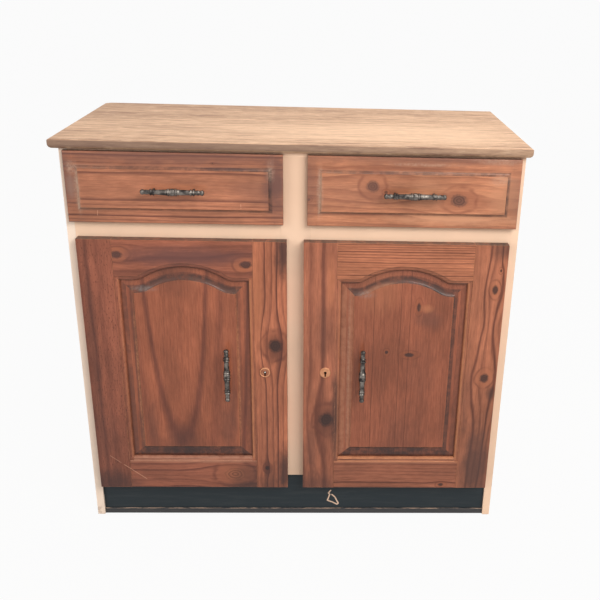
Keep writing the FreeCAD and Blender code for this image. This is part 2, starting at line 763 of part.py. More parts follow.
def make_lock(side, keyhole):
    """A rim lock behind the lock stile: escutcheon, case with a key post, and sliding bolt."""
    word = SIDE_NAMES[side]
    plate = doc.addObject("Part::Cone", f"{word}_escutcheon_blank")
    plate.Placement = FreeCAD.Placement(Vector(), TURNS["y"])
    place(plate, (at(side, "keyhole_x"), "door_face - escutcheon_thickness", "door_mid"))
    plate.setExpression("Radius1", sized("escutcheon_radius - escutcheon_slope"))
    plate.setExpression("Radius2", sized("escutcheon_radius"))
    plate.setExpression("Height", sized("escutcheon_thickness"))
    keep(f"{word}_escutcheon", cut(f"{word}_escutcheon", plate, keyhole))

    screws = [screw(f"{word}_lock_{name}_screw", "y", -1, "small", "lock_back",
                    "lock_case_depth + lock_screw_bite", at(side, "(lock_near + lock_far) / 2"),
                    f"door_mid {offset}")
              for name, offset in (("lower", "- lock_screw_spread"), ("upper", "+ lock_screw_spread"))]
    screw_group = group(f"{word}_lock_screws", screws)
    case = board(f"{word}_lock_case_blank", span(side, "lock_near", "lock_far"), ("-front_gap", "lock_back"),
                 ("door_mid - lock_case_height / 2", "door_mid + lock_case_height / 2"))
    channel = board(f"{word}_bolt_channel",
                    span(side, "bolt_near - lock_slot_gap", "bolt_far + lock_bolt_gap"),
                    ("lock_mid - lock_bolt_thickness / 2 - lock_bolt_gap",
                     "lock_mid + lock_bolt_thickness / 2 + lock_bolt_gap"),
                    ("door_mid - lock_bolt_height / 2 - lock_bolt_gap",
                     "door_mid + lock_bolt_height / 2 + lock_bolt_gap"))
    well = rod(f"{word}_key_well", "y", "lock_well_radius", at(side, "keyhole_x"),
               ("-front_gap", "lock_mid"), "door_mid")
    post = rod(f"{word}_key_post", "y", "lock_post_radius", at(side, "keyhole_x"),
               ("-front_gap", "lock_back"), "door_mid")
    hollow = cut(f"{word}_lock_case_hollow", case, channel, well, screw_group)
    keep(f"{word}_lock_case", fuse(f"{word}_lock_case", hollow, post))
    keep(f"{word}_lock_bolt",
         board(f"{word}_lock_bolt", span(side, "bolt_near", "bolt_far"),
               ("lock_mid - lock_bolt_thickness / 2", "lock_mid + lock_bolt_thickness / 2"),
               ("door_mid - lock_bolt_height / 2", "door_mid + lock_bolt_height / 2")))
    return {"screws": screws, "screw_group": screw_group}


# Drawers

def drawer_front_shape(low_x, high_x, low_z, high_z):
    """A front with a raised field, a cove round it and a flat border with an eased edge."""
    back = -mm("front_gap")
    field = mm("drawer_face")
    wide = mm("drawer_cove_width")
    deep = mm("drawer_cove_depth")
    border = field + deep
    ease = mm("drawer_edge_radius")
    bend = math.sqrt(0.5)

    def half_profile(end, inward, inset):
        """Points from the back edge round to the field, as (across, y); odd ones bend an arc."""
        rim = end + inward * ease
        turn = end + inward * (inset - wide)
        return [(end, back), (end, border + ease), (rim - inward * ease * bend, border + ease * (1 - bend)),
                (rim, border), (turn, border), (turn + inward * wide * bend, field + deep * bend),
                (end + inward * inset, field)]

    def prism(low, high, inset, spot, sweep):
        edges = []
        profiles = [[spot(*point) for point in half_profile(end, inward, inset)]
                    for end, inward in ((low, 1), (high, -1))]
        for start, eased, bow, rim, turn, hollow, top in profiles:
            edges += [Part.LineSegment(start, eased).toShape(), Part.Arc(eased, bow, rim).toShape(),
                      Part.LineSegment(rim, turn).toShape(), Part.Arc(turn, hollow, top).toShape()]
        edges.append(Part.LineSegment(profiles[0][-1], profiles[1][-1]).toShape())
        edges.append(Part.LineSegment(profiles[0][0], profiles[1][0]).toShape())
        return Part.Face(Part.Wire(Part.sortEdges(edges)[0])).extrude(sweep)

    upright = prism(low_x, high_x, mm("drawer_border_ends"),
                    lambda x, y: Vector(x, y, low_z), Vector(0, 0, high_z - low_z))
    level = prism(low_z, high_z, mm("drawer_border_edges"),
                  lambda z, y: Vector(low_x, y, z), Vector(high_x - low_x, 0, 0))
    return upright.common(level)


def make_drawer(side):
    """A drawer: moulded front on a grooved box that runs on the wooden runners."""
    word = f"{SIDE_NAMES[side]}_drawer"
    centre = at(side, "drawer_centre")
    pull_screws = handle_screws(f"{word}_handle_screw", "x", centre, "drawer_mid", "drawer_face",
                                "box_board - front_gap")
    box_screws = [screw(f"{word}_box_screw_{name}", "y", -1, "machine", "box_board - front_gap",
                        "box_board + box_screw_bite", f"{centre} {offset}", "drawer_mid")
                  for name, offset in (("low", "- box_screw_side"), ("high", "+ box_screw_side"))]
    screws = keep(f"{word}_screws", group(f"{word}_screws", pull_screws + box_screws))
    limits = sorted(side * mm(name) for name in ("drawer_inner", "drawer_outer"))
    front = moulded(f"{word}_front_blank", drawer_front_shape(*limits, mm("drawer_low"), mm("drawer_high")))
    keep(f"{word}_front", cut(f"{word}_front", front, screws))
    make_handle(f"{word}_handle", "x", centre, "drawer_mid", "drawer_face",
                group(f"{word}_pull_screws", pull_screws))

    tall = ("box_low", "box_high")
    deep = ("-front_gap", "box_back")
    within = span(side, "box_inner + box_board", "box_outer - box_board")
    bottom = board(f"{word}_bottom", span(side, "box_inner + box_board - box_bottom_groove",
                                          "box_outer - box_board + box_bottom_groove"),
                   ("box_board - front_gap - box_bottom_groove", "box_back - box_board + box_bottom_groove"),
                   ("box_floor", "box_floor + box_bottom_thickness"))
    keep(f"{word}_bottom", bottom)
    for wall, near, far, groove_near, groove_far in (
            ("inner", "box_inner", "box_inner + box_board", "box_inner", "box_inner + runner_groove"),
            ("outer", "box_outer - box_board", "box_outer", "box_outer - runner_groove", "box_outer")):
        name = f"{word}_{wall}_side"
        blank = board(f"{name}_blank", span(side, near, far), deep, tall)
        track = board(f"{name}_track", span(side, groove_near, groove_far),
                      ("runner_front - runner_stop_gap", "box_back"),
                      ("runner_low - runner_slide_gap", "runner_high + runner_slide_gap"))
        keep(name, cut(name, blank, track, bottom))
    front_board = board(f"{word}_box_front_blank", within, ("-front_gap", "box_board - front_gap"), tall)
    keep(f"{word}_box_front", cut(f"{word}_box_front", front_board, bottom, screws))
    back_board = board(f"{word}_back_blank", within, ("box_back - box_board", "box_back"), tall)
    keep(f"{word}_back", cut(f"{word}_back", back_board, bottom))


# Build

shelf_pins = make_carcass()
runner_screws = make_runners()
all_hinges = {side: [make_hinge(side, height) for height in ("hinge_low", "hinge_high")] for side in BOTH}
keep("hinge_frame_leaves", group("hinge_frame_leaves",
                                 [hinge["frame_leaf"] for side in BOTH for hinge in all_hinges[side]]))
keep("hinge_pins", group("hinge_pins", [hinge["pin"] for side in BOTH for hinge in all_hinges[side]]))
frame_screws = keep("hinge_frame_screws", group("hinge_frame_screws",
                                                [one for side in BOTH for hinge in all_hinges[side]
                                                 for one in hinge["frame_screws"]]))
for hand in BOTH:
    word = SIDE_NAMES[hand]
    panel = board(f"{word}_side_panel_blank", span(hand, "inner_x", "outer_x"), ("0", "back_y"),
                  ("0", "carcass_height"))
    keep(f"{word}_side_panel", cut(f"{word}_side_panel", panel, shelf_pins, runner_screws, frame_screws))
    make_door(hand, all_hinges[hand])
    make_drawer(hand)
partition = board("partition_blank", ("-partition_x", "partition_x"), ("board", "back_y"),
                  ("floor_top", "back_rail_low"))
keep("centre_partition", cut("centre_partition", partition, shelf_pins, runner_screws))
stile = board("centre_stile_blank", ("-stile_x", "stile_x"), ("0", "board"), ("floor_top", "stile_top"))
slots = [board(f"{SIDE_NAMES[hand]}_lock_slot", span(hand, "stile_x - slot_depth", "stile_x"),
               ("lock_mid - lock_bolt_thickness / 2 - lock_slot_gap",
                "lock_mid + lock_bolt_thickness / 2 + lock_slot_gap"),
               ("door_mid - lock_bolt_height / 2 - lock_slot_gap",
                "door_mid + lock_bolt_height / 2 + lock_slot_gap")) for hand in BOTH]
keep("centre_stile", cut("centre_stile", stile, group("lock_slots", slots)))

doc.recompute()
for made in doc.Objects:
    if "Invalid" in made.State or "Error" in made.State:
        raise RuntimeError(f"{made.Label} did not build: {made.State}")
for name, piece in nodes.items():
    if piece.Shape.isNull() or not piece.Shape.isValid():
        raise RuntimeError(f"{name} has no valid shape")
os.makedirs("parts", exist_ok=True)
for name, piece in nodes.items():
    piece.Shape.exportStep(f"parts/{name}.step")
    print(f"{name}: {len(piece.Shape.Solids)} solids, {piece.Shape.Volume / 1000:.1f} cm3")
print(len(nodes), "nodes")
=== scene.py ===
# %% [markdown]
# # A pine-fronted kitchen base cupboard
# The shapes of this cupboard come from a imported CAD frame: boards, doors, drawers, hinges and locks that
# move. This script dresses that frame. It paints every surface with procedural finishes, softens the
# edges, turns the cast pulls, and lights and frames the result like a plain product photograph.

# %% The frame
import math
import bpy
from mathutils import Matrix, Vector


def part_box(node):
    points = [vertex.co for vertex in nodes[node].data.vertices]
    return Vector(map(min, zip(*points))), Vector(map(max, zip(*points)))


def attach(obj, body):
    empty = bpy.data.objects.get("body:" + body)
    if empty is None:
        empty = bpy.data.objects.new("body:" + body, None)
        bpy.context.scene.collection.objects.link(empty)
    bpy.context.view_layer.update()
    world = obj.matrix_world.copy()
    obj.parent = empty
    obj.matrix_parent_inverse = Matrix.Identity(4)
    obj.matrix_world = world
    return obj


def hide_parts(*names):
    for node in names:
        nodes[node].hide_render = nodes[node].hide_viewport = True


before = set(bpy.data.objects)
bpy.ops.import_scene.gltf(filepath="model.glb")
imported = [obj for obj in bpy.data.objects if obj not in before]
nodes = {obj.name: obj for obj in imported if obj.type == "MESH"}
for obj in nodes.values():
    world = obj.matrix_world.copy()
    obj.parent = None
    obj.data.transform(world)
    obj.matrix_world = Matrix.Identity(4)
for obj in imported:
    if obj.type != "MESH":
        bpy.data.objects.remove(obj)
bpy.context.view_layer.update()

from types import SimpleNamespace

import bpy
from mathutils import Matrix, Vector

# %% [markdown]
# ## Short names for shader nodes
# A finish is a graph of small steps. Two helpers keep the graphs short: `Graph` makes a node and links
# whatever is handed to it, and `shared` opens a node group that several finishes use.

# %% Helpers for shader graphs
MM = 0.001


def srgb(red, green, blue):
    """A colour as read on a screen, 0 to 255, as the linear colour that a shader takes."""
    parts = [value / 255 for value in (red, green, blue)]
    return tuple(v / 12.92 if v < 0.04045 else ((v + 0.055) / 1.055) ** 2.4 for v in parts) + (1.0,)


class Graph:
    """Makes and links the nodes of one shader tree."""

    def __init__(self, tree):
        self.tree = tree

    def fill(self, made, inputs):
        for key, value in inputs.items():
            if isinstance(value, bpy.types.NodeSocket):
                self.tree.links.new(value, made.inputs[key])
            else:
                made.inputs[key].default_value = value

    def node(self, kind, inputs=(), out=0, **settings):
        made = self.tree.nodes.new("ShaderNode" + kind)
        for name, value in settings.items():
            setattr(made, name, value)
        self.fill(made, inputs if isinstance(inputs, dict) else dict(enumerate(inputs)))
        return made if out is None else made.outputs[out]

    def use(self, name, inputs):
        """An instance of a shared group; its outputs are read by name."""
        made = self.node("Group", out=None, node_tree=bpy.data.node_groups[name])
        self.fill(made, inputs)
        return made.outputs

    def math(self, operation, first, *others):
        """One operation, carried on from value to value."""
        if not others:
            return self.node("Math", [first], operation=operation)
        for value in others:
            first = self.node("Math", (first, value), operation=operation)
        return first

    def ease(self, value, low, high, start=0.0, end=1.0):
        """A smooth step from start to end while value goes from low to high."""
        return self.node("MapRange", (value, low, high, start, end), interpolation_type="SMOOTHSTEP")

    def mix(self, factor, first, second, blend="MIX"):
        return self.node("Mix", {0: factor, 6: first, 7: second}, out=2, data_type="RGBA", blend_type=blend)

    def tint(self, colour, mask, amount, tone):
        """Mix a colour towards a screen tone by a mask times an amount."""
        return self.mix(self.math("MULTIPLY", mask, amount), colour, srgb(*tone))

    def shade(self, colour, level):
        """Make a colour lighter or darker by a level, where 1 leaves it as it is."""
        return self.mix(1.0, colour, self.node("CombineColor", (level, level, level)), "MULTIPLY")

    def noise(self, vector, scale, detail=2.0, rough=0.5, distortion=0.0):
        return self.node("TexNoise", {"Vector": vector, "Scale": scale, "Detail": detail, "Roughness": rough,
                                      "Distortion": distortion})

    def scaled(self, vector, *factors):
        return self.node("VectorMath", (vector, factors), operation="MULTIPLY")

    def parts(self, vector):
        return self.node("SeparateXYZ", [vector], out=None).outputs

    def length(self, first, second):
        """The long side of a right-angled triangle."""
        return self.math("SQRT", self.math("ADD", *[self.math("MULTIPLY", v, v) for v in (first, second)]))

    def here(self):
        """The place on the object, in metres of the shared frame."""
        return self.node("TexCoord", out=3)

    def facing(self):
        """The surface's own direction, as its x, y and z parts."""
        return self.parts(self.node("TexCoord", out=1))


def shared(name, inputs, outputs):
    """Open a node group: its graph, its inputs by name and a function that links its outputs."""
    tree = bpy.data.node_groups.new(name, "ShaderNodeTree")
    for label, default in inputs.items():
        kind = "NodeSocketFloat" if isinstance(default, float) else "NodeSocketVector"
        tree.interface.new_socket(name=label, in_out="INPUT", socket_type=kind).default_value = default
    for label in outputs:
        tree.interface.new_socket(name=label, in_out="OUTPUT", socket_type="NodeSocketFloat")
    enter = tree.nodes.new("NodeGroupInput")
    leave = tree.nodes.new("NodeGroupOutput")

    def close(**results):
        for label, socket in results.items():
            tree.links.new(socket, leave.inputs[label])
        print("group", name, "has", len(tree.nodes), "nodes")

    return Graph(tree), enter.outputs, close


# %% [markdown]
# ## Growth rings
# A board is a slice of a trunk, and its face shows where the trunk's rings meet that slice. An image could
# stand in for them, but it would end at a board's edge. So this group measures how far each point is from
# the trunk's heart line. A heart line that slants through the board gives the nested arches of a flat-sawn
# face, and one far off to the side gives straight lines. Good and bad years make the rings wide and narrow.
# Pale early wood shades slowly into a dark late line, then starts again, at once or softly. The first years,
# near the heart, can stay plain.

# %% Shared group: growth rings
g, given, close = shared("growth_rings", {
    "Board": (0, 0, 0), "Heart across": 0.0, "Heart depth": 40.0, "Slant": 0.0, "Ring width": 10.0,
    "Wobble": 4.0, "Shift": 0.0, "Soft": 0.06, "Seed": 0.0, "Plain": 0.0}, ["Late"])
along, across, depth = g.parts(given["Board"])
drift = g.node("CombineXYZ", (along, across, g.math("ADD", depth, g.math("MULTIPLY", given["Seed"], 100.0))))
slow = g.noise(g.scaled(drift, 0.0035, 0.016, 0.016), 1.0, 2.0)
fast = g.noise(g.scaled(drift, 0.012, 0.07, 0.07), 1.0, 2.0)
sway = g.math("MULTIPLY", g.math("SUBTRACT", slow, 0.5), given["Wobble"], 4.0)
ripple = g.math("MULTIPLY", g.math("SUBTRACT", fast, 0.5), given["Wobble"], 0.8)
side = g.math("ADD", g.math("SUBTRACT", across, given["Heart across"]), given["Shift"], sway, ripple)
fall = g.math("MULTIPLY", along, given["Slant"])
below = g.math("ADD", g.math("SUBTRACT", depth, given["Heart depth"]), fall)
reach = g.length(side, below)
even = g.math("DIVIDE", reach, given["Ring width"])
years = g.noise(g.node("CombineXYZ", (even, given["Seed"], 0.0)), 0.45, 1.0)
ring = g.math("ADD", even, g.math("MULTIPLY", years, 1.2))
year = g.math("ADD", g.math("FLOOR", ring), given["Seed"])
chance = g.node("TexWhiteNoise", {"W": year}, noise_dimensions="1D")
strength = g.ease(chance, 0.0, 1.0, 0.2, 1.0)
phase = g.math("FRACT", ring)
crest = g.math("SUBTRACT", 1.0, given["Soft"])
rise = g.math("POWER", g.ease(phase, 0.15, crest), 2.2)
drop = g.ease(phase, crest, 1.0, 1.0, 0.0)
grown = g.ease(reach, g.math("MULTIPLY", given["Plain"], 0.8), g.math("ADD", given["Plain"], 0.1))
close(Late=g.math("MULTIPLY", rise, drop, strength, grown))

# %% [markdown]
# ## Knots
# A knot is a branch cut across. The trunk's lines part to flow round it, so the group pushes nearby grain
# aside, away from the knot's middle. It also gives masks for the dark core with the branch's own rings, for
# the stained halo and for a ring line further out. The core can be a part of the pushed width only.

# %% Shared group: knots
g, given, close = shared("knot", {
    "Board": (0, 0, 0), "Along": 0.0, "Across": 0.0, "Radius": 8.0, "Stretch": 1.3, "Core": 1.0},
    ["Shift", "Core", "Branch", "Halo", "Ring"])
along, across = g.parts(given["Board"])[:2]
off_along = g.math("SUBTRACT", along, given["Along"])
off_across = g.math("SUBTRACT", across, given["Across"])
rough = g.noise(g.scaled(given["Board"], 0.03, 0.05, 0.05), 1.0, 1.0)
reach = g.length(g.math("DIVIDE", off_along, given["Stretch"]), off_across)
span = g.math("DIVIDE", reach, given["Radius"], given["Core"])
span = g.math("MULTIPLY", span, g.ease(rough, 0.2, 0.8, 0.88, 1.14))
around = g.math("DIVIDE", g.length(g.math("DIVIDE", off_along, 2.4), off_across), given["Radius"])
push = g.ease(around, 0.0, 3.8, -0.92, 0.0)
crumbs = g.noise(g.scaled(given["Board"], 0.2, 0.2, 0.2), 1.0, 3.0, 0.6)
core = g.ease(g.math("ADD", span, g.ease(crumbs, 0.25, 0.75, -0.10, 0.10)), 0.55, 1.15, 1.0, 0.0)
branch = g.ease(g.math("FRACT", g.math("MULTIPLY", span, 3.1)), 0.2, 1.0)
ring = g.ease(g.math("ABSOLUTE", g.math("SUBTRACT", span, 2.05)), 0.0, 0.40, 1.0, 0.0)
broken = g.ease(rough, 0.34, 0.56, 0.3, 1.0)
close(Shift=g.math("MULTIPLY", off_across, push), Core=core, Branch=g.math("MULTIPLY", core, branch),
      Halo=g.ease(span, 0.8, 2.9, 1.0, 0.0), Ring=g.math("MULTIPLY", ring, broken))

# %% [markdown]
# ## Marks with a place: stains and scratches
# Handling leaves soft patches, dark or chalky, and thin pale scratches. A patch is a smudged ellipse. A
# scratch is the distance to a short straight line, broken up a little so that it doesn't look ruled.

# %% Shared groups: patch and scratch
g, given, close = shared("patch", {
    "Board": (0, 0, 0), "Along": 0.0, "Across": 0.0, "Half along": 30.0, "Half across": 10.0}, ["Mask"])
along, across = g.parts(given["Board"])[:2]
ragged = g.noise(g.scaled(given["Board"], 0.03, 0.05, 0.05), 1.0, 4.0, 0.6)
far = g.length(g.math("DIVIDE", g.math("SUBTRACT", along, given["Along"]), given["Half along"]),
               g.math("DIVIDE", g.math("SUBTRACT", across, given["Across"]), given["Half across"]))
close(Mask=g.ease(g.math("ADD", far, g.math("SUBTRACT", ragged, 0.5)), 0.2, 1.3, 1.0, 0.0))

g, given, close = shared("scratch", {
    "Board": (0, 0, 0), "Start": (0, 0, 0), "End": (1, 0, 0), "Half width": 0.6, "Breaks": 0.5}, ["Mask"])
whole = g.node("VectorMath", (given["End"], given["Start"]), operation="SUBTRACT")
part = g.node("VectorMath", (g.scaled(given["Board"], 1.0, 1.0, 0.0), given["Start"]), operation="SUBTRACT")
done, full = [g.node("VectorMath", (way, whole), out=1, operation="DOT_PRODUCT") for way in (part, whole)]
share = g.node("Clamp", [g.math("DIVIDE", done, full)])
foot = g.node("VectorMath", {0: whole, 3: share}, operation="SCALE")
gap = g.math("DIVIDE", g.node("VectorMath", (part, foot), out=1, operation="DISTANCE"), given["Half width"])
grit = g.noise(g.scaled(given["Board"], 0.25, 0.25, 0.0), 1.0, 3.0, 0.7)
solid = g.ease(grit, g.math("SUBTRACT", given["Breaks"], 0.12), given["Breaks"])
close(Mask=g.math("MULTIPLY", g.ease(gap, 0.5, 1.3, 1.0, 0.0), solid))

# %% [markdown]
# ## Grime and painted shade, ledges and edge wear
# Corners and hollows are found with ambient occlusion and darkened. On the boards that is painted shade where
# light can't reach, together with dirt and old polish where a cloth can't; on the metal it is patina.
# Mouldings that slope up, down or sideways are found from the surface's own direction, because a flat front
# never slopes; the finishes tint them with painted shade, painted highlights or darker tones. Wear takes the
# stain off corners that stick out: there the rounded normal of a bevel differs from the flat one, and that
# difference is the mask. Noise breaks them all up.

# %% Shared groups: grime and painted shade, ledge and edge wear
g, given, close = shared("grime_and_shade", {"Reach": 0.016, "Amount": 1.0}, ["Mask"])
# The mask of corners and hollows: they are darkened with painted shade and dirt, and on the metal with
# patina.
open_sky = g.node("AmbientOcclusion", {"Distance": given["Reach"]}, out=1, samples=6)
uneven = g.ease(g.noise(g.here(), 45.0, 4.0, 0.6), 0.25, 0.75, 0.45, 1.0)
close(Mask=g.math("MULTIPLY", g.ease(open_sky, 0.35, 0.95, 1.0, 0.0), uneven, given["Amount"]))

g, given, close = shared("ledge", {"Start": 0.1, "Full": 0.4, "Breaks": 0.45},
                         ["Up", "Down", "Left", "Right"])
uneven = g.ease(g.noise(g.here(), 70.0, 5.0, 0.65), 0.30, 0.62, given["Breaks"], 1.0)
facing = g.facing()
ways = {"Up": facing[2], "Down": g.math("MULTIPLY", facing[2], -1.0),
        "Left": g.math("MULTIPLY", facing[0], -1.0), "Right": facing[0]}
sloped = {way: g.ease(turned, given["Start"], given["Full"]) for way, turned in ways.items()}
close(**{way: g.math("MULTIPLY", mask, uneven) for way, mask in sloped.items()})

g, given, close = shared("edge_wear", {"Radius": 0.0018, "Amount": 1.0}, ["Mask"])
rounded = g.node("Bevel", {"Radius": given["Radius"]}, samples=4)
agree = g.node("VectorMath", (rounded, g.node("NewGeometry", out=1)), out=1, operation="DOT_PRODUCT")
uneven = g.ease(g.noise(g.here(), 60.0, 4.0, 0.65), 0.35, 0.65)
close(Mask=g.math("MULTIPLY", g.ease(agree, 0.80, 0.99, 1.0, 0.0), uneven, given["Amount"]))

# %% [markdown]
# ## The pine finish
# One finish makes every pine board. The board's own coordinates are along, across and through the grain,
# in millimetres, so a stile and a rail differ only in which way their grain runs. The first half is the
# wood itself. Its knots come first, because they bend the rings. Colour runs from early to late wood, takes
# fine fibres and blotches of stain, and painted shade that makes it a little darker towards the floor, and
# then the knots.

# %% Pine: the wood
FRONT_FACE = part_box("left_hinge_stile")[0].y / MM
KNOT_INPUTS = ("Along", "Across", "Radius", "Stretch", "Core")
BRANCH = (38, 28, 28)
RESIN = (84, 44, 36)
STRIP_SHIFT = 23.0
FIBRE_CONTRAST = 0.7
# Painted shade: the wood is made a little darker towards the floor, where less light falls.
FLOOR_SHADE = (120.0, 600.0, 0.93, 1.04)


def board_space(g, grain):
    """The place as (along, across, through) the grain, in millimetres."""
    x, y, z = g.parts(g.scaled(g.here(), 1000, 1000, 1000))
    through = g.math("SUBTRACT", y, FRONT_FACE)
    return g.node("CombineXYZ", (z, x, through) if grain == "Z" else (x, z, through))


def bare_wood(g, board, look):
    """The wood's colour, and the masks of late wood, fibres and blotches that the varnish uses too."""
    along, across = g.parts(board)[:2]
    grown = [g.use("knot", {"Board": board, **dict(zip(KNOT_INPUTS, spot))}) for spot in look.knots]
    glued = [g.math("GREATER_THAN", across, joint) for joint in look.strips]
    shifts = [knot["Shift"] for knot in grown] + [g.math("MULTIPLY", step, STRIP_SHIFT) for step in glued]
    late_wood = g.use("growth_rings", {
        "Board": board, "Heart across": look.heart[0], "Heart depth": look.heart[1], "Slant": look.slant,
        "Ring width": look.ring, "Wobble": look.wobble, "Soft": look.soft, "Seed": look.seed,
        "Plain": look.plain, "Shift": g.math("ADD", 0.0, 0.0, *shifts)})["Late"]
    fibre = g.noise(g.scaled(board, 0.02, 1.1, 1.1), 1.0, 3.0, 0.6)
    hairs = g.ease(g.noise(g.scaled(board, 0.006, 0.42, 0.42), 1.0, 4.0, 0.7), 0.50, 0.72)
    blotch = g.noise(g.scaled(board, 0.006, 0.018, 0.018), 1.0, 3.0, 0.55)
    figure = g.noise(g.scaled(board, 0.045, 0.24, 0.24), 1.0, 4.0, 0.65)
    height = along if look.grain == "Z" else across
    colour = g.tint(srgb(*look.early), late_wood, look.contrast, look.late)
    colour = g.tint(colour, hairs, look.hair, look.late)
    colour = g.mix(FIBRE_CONTRAST, colour, g.node("ValToRGB", [fibre]), "SOFT_LIGHT")
    stain = g.ease(blotch, 0.25, 0.75, 0.74, 1.18)
    # Stain blotches and figure vary the tone; the floor term adds painted shade lower down.
    colour = g.shade(colour, g.math("MULTIPLY", stain, g.ease(figure, 0.28, 0.72, 0.88, 1.12),
                                    g.ease(height, *FLOOR_SHADE)))
    for knot in grown:
        colour = g.tint(colour, knot["Halo"], 0.5, look.halo)
        colour = g.tint(colour, knot["Ring"], 0.5, look.late)
        colour = g.tint(colour, knot["Core"], 0.85, look.core)
        colour = g.tint(colour, knot["Branch"], 0.5, BRANCH)
    if look.flecks:
        speck = g.ease(g.noise(g.scaled(board, 0.14, 0.6, 0.6), 1.0, 2.0, 0.5), 0.60, 0.68)
        colour = g.tint(colour, speck, look.flecks, RESIN)
    return colour, late_wood, fibre, blotch


# %% [markdown]
# The second half is what years of use have left, with painted light laid in: stains, glue lines, grime and
# painted shade in corners, painted shade, painted highlights and darker tones on the mouldings, bare edges,
# chalky painted highlights and scratches. The painted highlights and scratches come last, because they lie on
# top of the dirt and painted shade. A painted highlight is a patch that crumbles. A thin clear coat over a
# satin base gives the varnish its highlights.

# %% Pine: years of use and varnish
PATCH_INPUTS = ("Along", "Across", "Half along", "Half across")
# A dark tone for dirt and for painted shade: in corners, and on mouldings that face down, to the right or up
# under the worktop.
DIRT_AND_SHADE = (50, 38, 37)
BARE = (226, 170, 140)
WORN = (210, 148, 108)
GLUE = (70, 38, 30)
LEDGE_BLUR = 0.3
PLAIN_PINE = dict(
    slant=0.0, ring=10.0, wobble=4.0, soft=0.06, seed=0.0, plain=0.0, contrast=0.8, hair=0.35, flecks=0.0,
    knots=(), halo=(140, 80, 54), core=(62, 44, 42), strips=(), patches=(), rubs=(), scratches=(), ledges=(),
    wear=0.5, gloss=0.22, face=0.0)


def new_material(name):
    made = bpy.data.materials.new(name)
    made.use_nodes = True
    tree = made.node_tree
    tree.nodes.clear()
    shader = tree.nodes.new("ShaderNodeBsdfPrincipled")
    leave = tree.nodes.new("ShaderNodeOutputMaterial")
    tree.links.new(shader.outputs[0], leave.inputs[0])
    return made, Graph(tree), shader


def scratch(g, board, start, end, half, breaks):
    return g.use("scratch", {"Board": board, "Start": (*start, 0), "End": (*end, 0), "Half width": half,
                             "Breaks": breaks})["Mask"]


def used(g, board, colour, look):
    """The wood's colour with its marks, painted shade and painted highlights; patches and painted highlights
    end in a strength and a tone.
    """
    across, through = g.parts(board)[1:]

    def patch(spot):
        return g.use("patch", {"Board": board, **dict(zip(PATCH_INPUTS, spot))})["Mask"]

    for spot in look.patches:
        colour = g.tint(colour, patch(spot), *spot[4:])
    for joint in look.strips:
        aside = g.math("ABSOLUTE", g.math("SUBTRACT", across, joint))
        colour = g.tint(colour, g.ease(aside, 0.3, 1.1, 1.0, 0.0), 0.55, GLUE)
    # Corners darkened from the occlusion mask: painted shade and dirt.
    colour = g.mix(g.use("grime_and_shade", {"Reach": 0.012, "Amount": 0.75})["Mask"], colour, srgb(*DIRT_AND_SHADE))
    # Each slope tints a moulding by the way it faces: painted shade, a painted highlight or a darker tone.
    for way, strength, tone, start, full, sunk, breaks in look.ledges:
        mask = g.use("ledge", {"Start": start, "Full": full, "Breaks": breaks})[way]
        limit = look.face + sunk
        reached = g.ease(through, limit - LEDGE_BLUR, limit + LEDGE_BLUR, 1.0, 0.0)
        colour = g.tint(colour, g.math("MULTIPLY", mask, reached), strength, tone)
    colour = g.mix(g.use("edge_wear", {"Radius": 0.0022, "Amount": look.wear})["Mask"], colour, srgb(*WORN))
    crumble = g.ease(g.noise(g.scaled(board, 0.16, 0.16, 0.16), 1.0, 4.0, 0.7), 0.38, 0.64, 0.3, 1.0)
    # Painted highlights: chalky pale patches that crumble, laid over the dirt and painted shade.
    for spot in look.rubs:
        colour = g.tint(colour, g.math("MULTIPLY", patch(spot), crumble), *spot[4:])
    for start, end, half in look.scratches:
        colour = g.tint(colour, scratch(g, board, start, end, half, 0.42), 0.6, BARE)
    return colour


def pine(name, **own):
    """A board of stained and varnished pine; its places are (along, across) in millimetres."""
    look = SimpleNamespace(**{**PLAIN_PINE, **own})
    made, g, shader = new_material(name)
    board = board_space(g, look.grain)
    colour, late_wood, fibre, blotch = bare_wood(g, board, look)
    relief = g.math("ADD", g.math("MULTIPLY", late_wood, 0.6), g.math("MULTIPLY", fibre, 0.5))
    g.fill(shader, {"Base Color": used(g, board, colour, look),
                    "Roughness": g.ease(blotch, 0.2, 0.8, 0.36, 0.52),
                    "Normal": g.node("Bump", {"Strength": 0.22, "Distance": 0.0006, "Height": relief}),
                    "Specular IOR Level": 0.2, "Coat Weight": look.gloss, "Coat Roughness": 0.14})
    return made


# %% [markdown]
# ## The pine boards
# Each board gets its own place in its own trunk: `heart` says how far across and how deep the heart line
# lies. A knot is (along, across, radius, stretch, core's share). A patch or a painted highlight is (along,
# across, half along, half across, strength, tone), and a scratch is (start, end, half width). The mouldings
# of the drawer fronts and the panels share a few ledges: painted shade on faces that turn down, on the
# drawers' right and upper coves and on the panels' upper bevels, a dark tone in the panels' upper coves, and
# chalky painted highlights.

# %% Tones and ledges
SMOKE = (62, 44, 42)
# Painted shade on the drawer fronts: along the top border under the worktop's edge, and in the end coves.
MAUVE_SHADE = (112, 76, 68)
# A lighter tone for beads and ridges: wear, and a painted highlight where they face the light.
BEAD_WEAR_AND_HIGHLIGHT = (200, 134, 94)
SHADE = (98, 61, 50)
# A chalky pale tone for painted highlights on coves, ridges and edges.
CHALK_HIGHLIGHT = (200, 168, 146)
HONEY = (206, 148, 114)
AMBER = (198, 126, 88)
PANEL_COVE, DRAWER_COVE, ALL = 5.0, 7.0, 60.0


def slope(way, strength, tone, start, full, sunk=ALL, breaks=0.45):
    """A tone for moulding that slopes one way, down to a depth below the board's face."""
    return way, strength, tone, start, full, sunk, breaks


# The flat top edges of the doors are darkened.
top_edge = slope("Up", 0.8, DIRT_AND_SHADE, 0.6, 0.9)
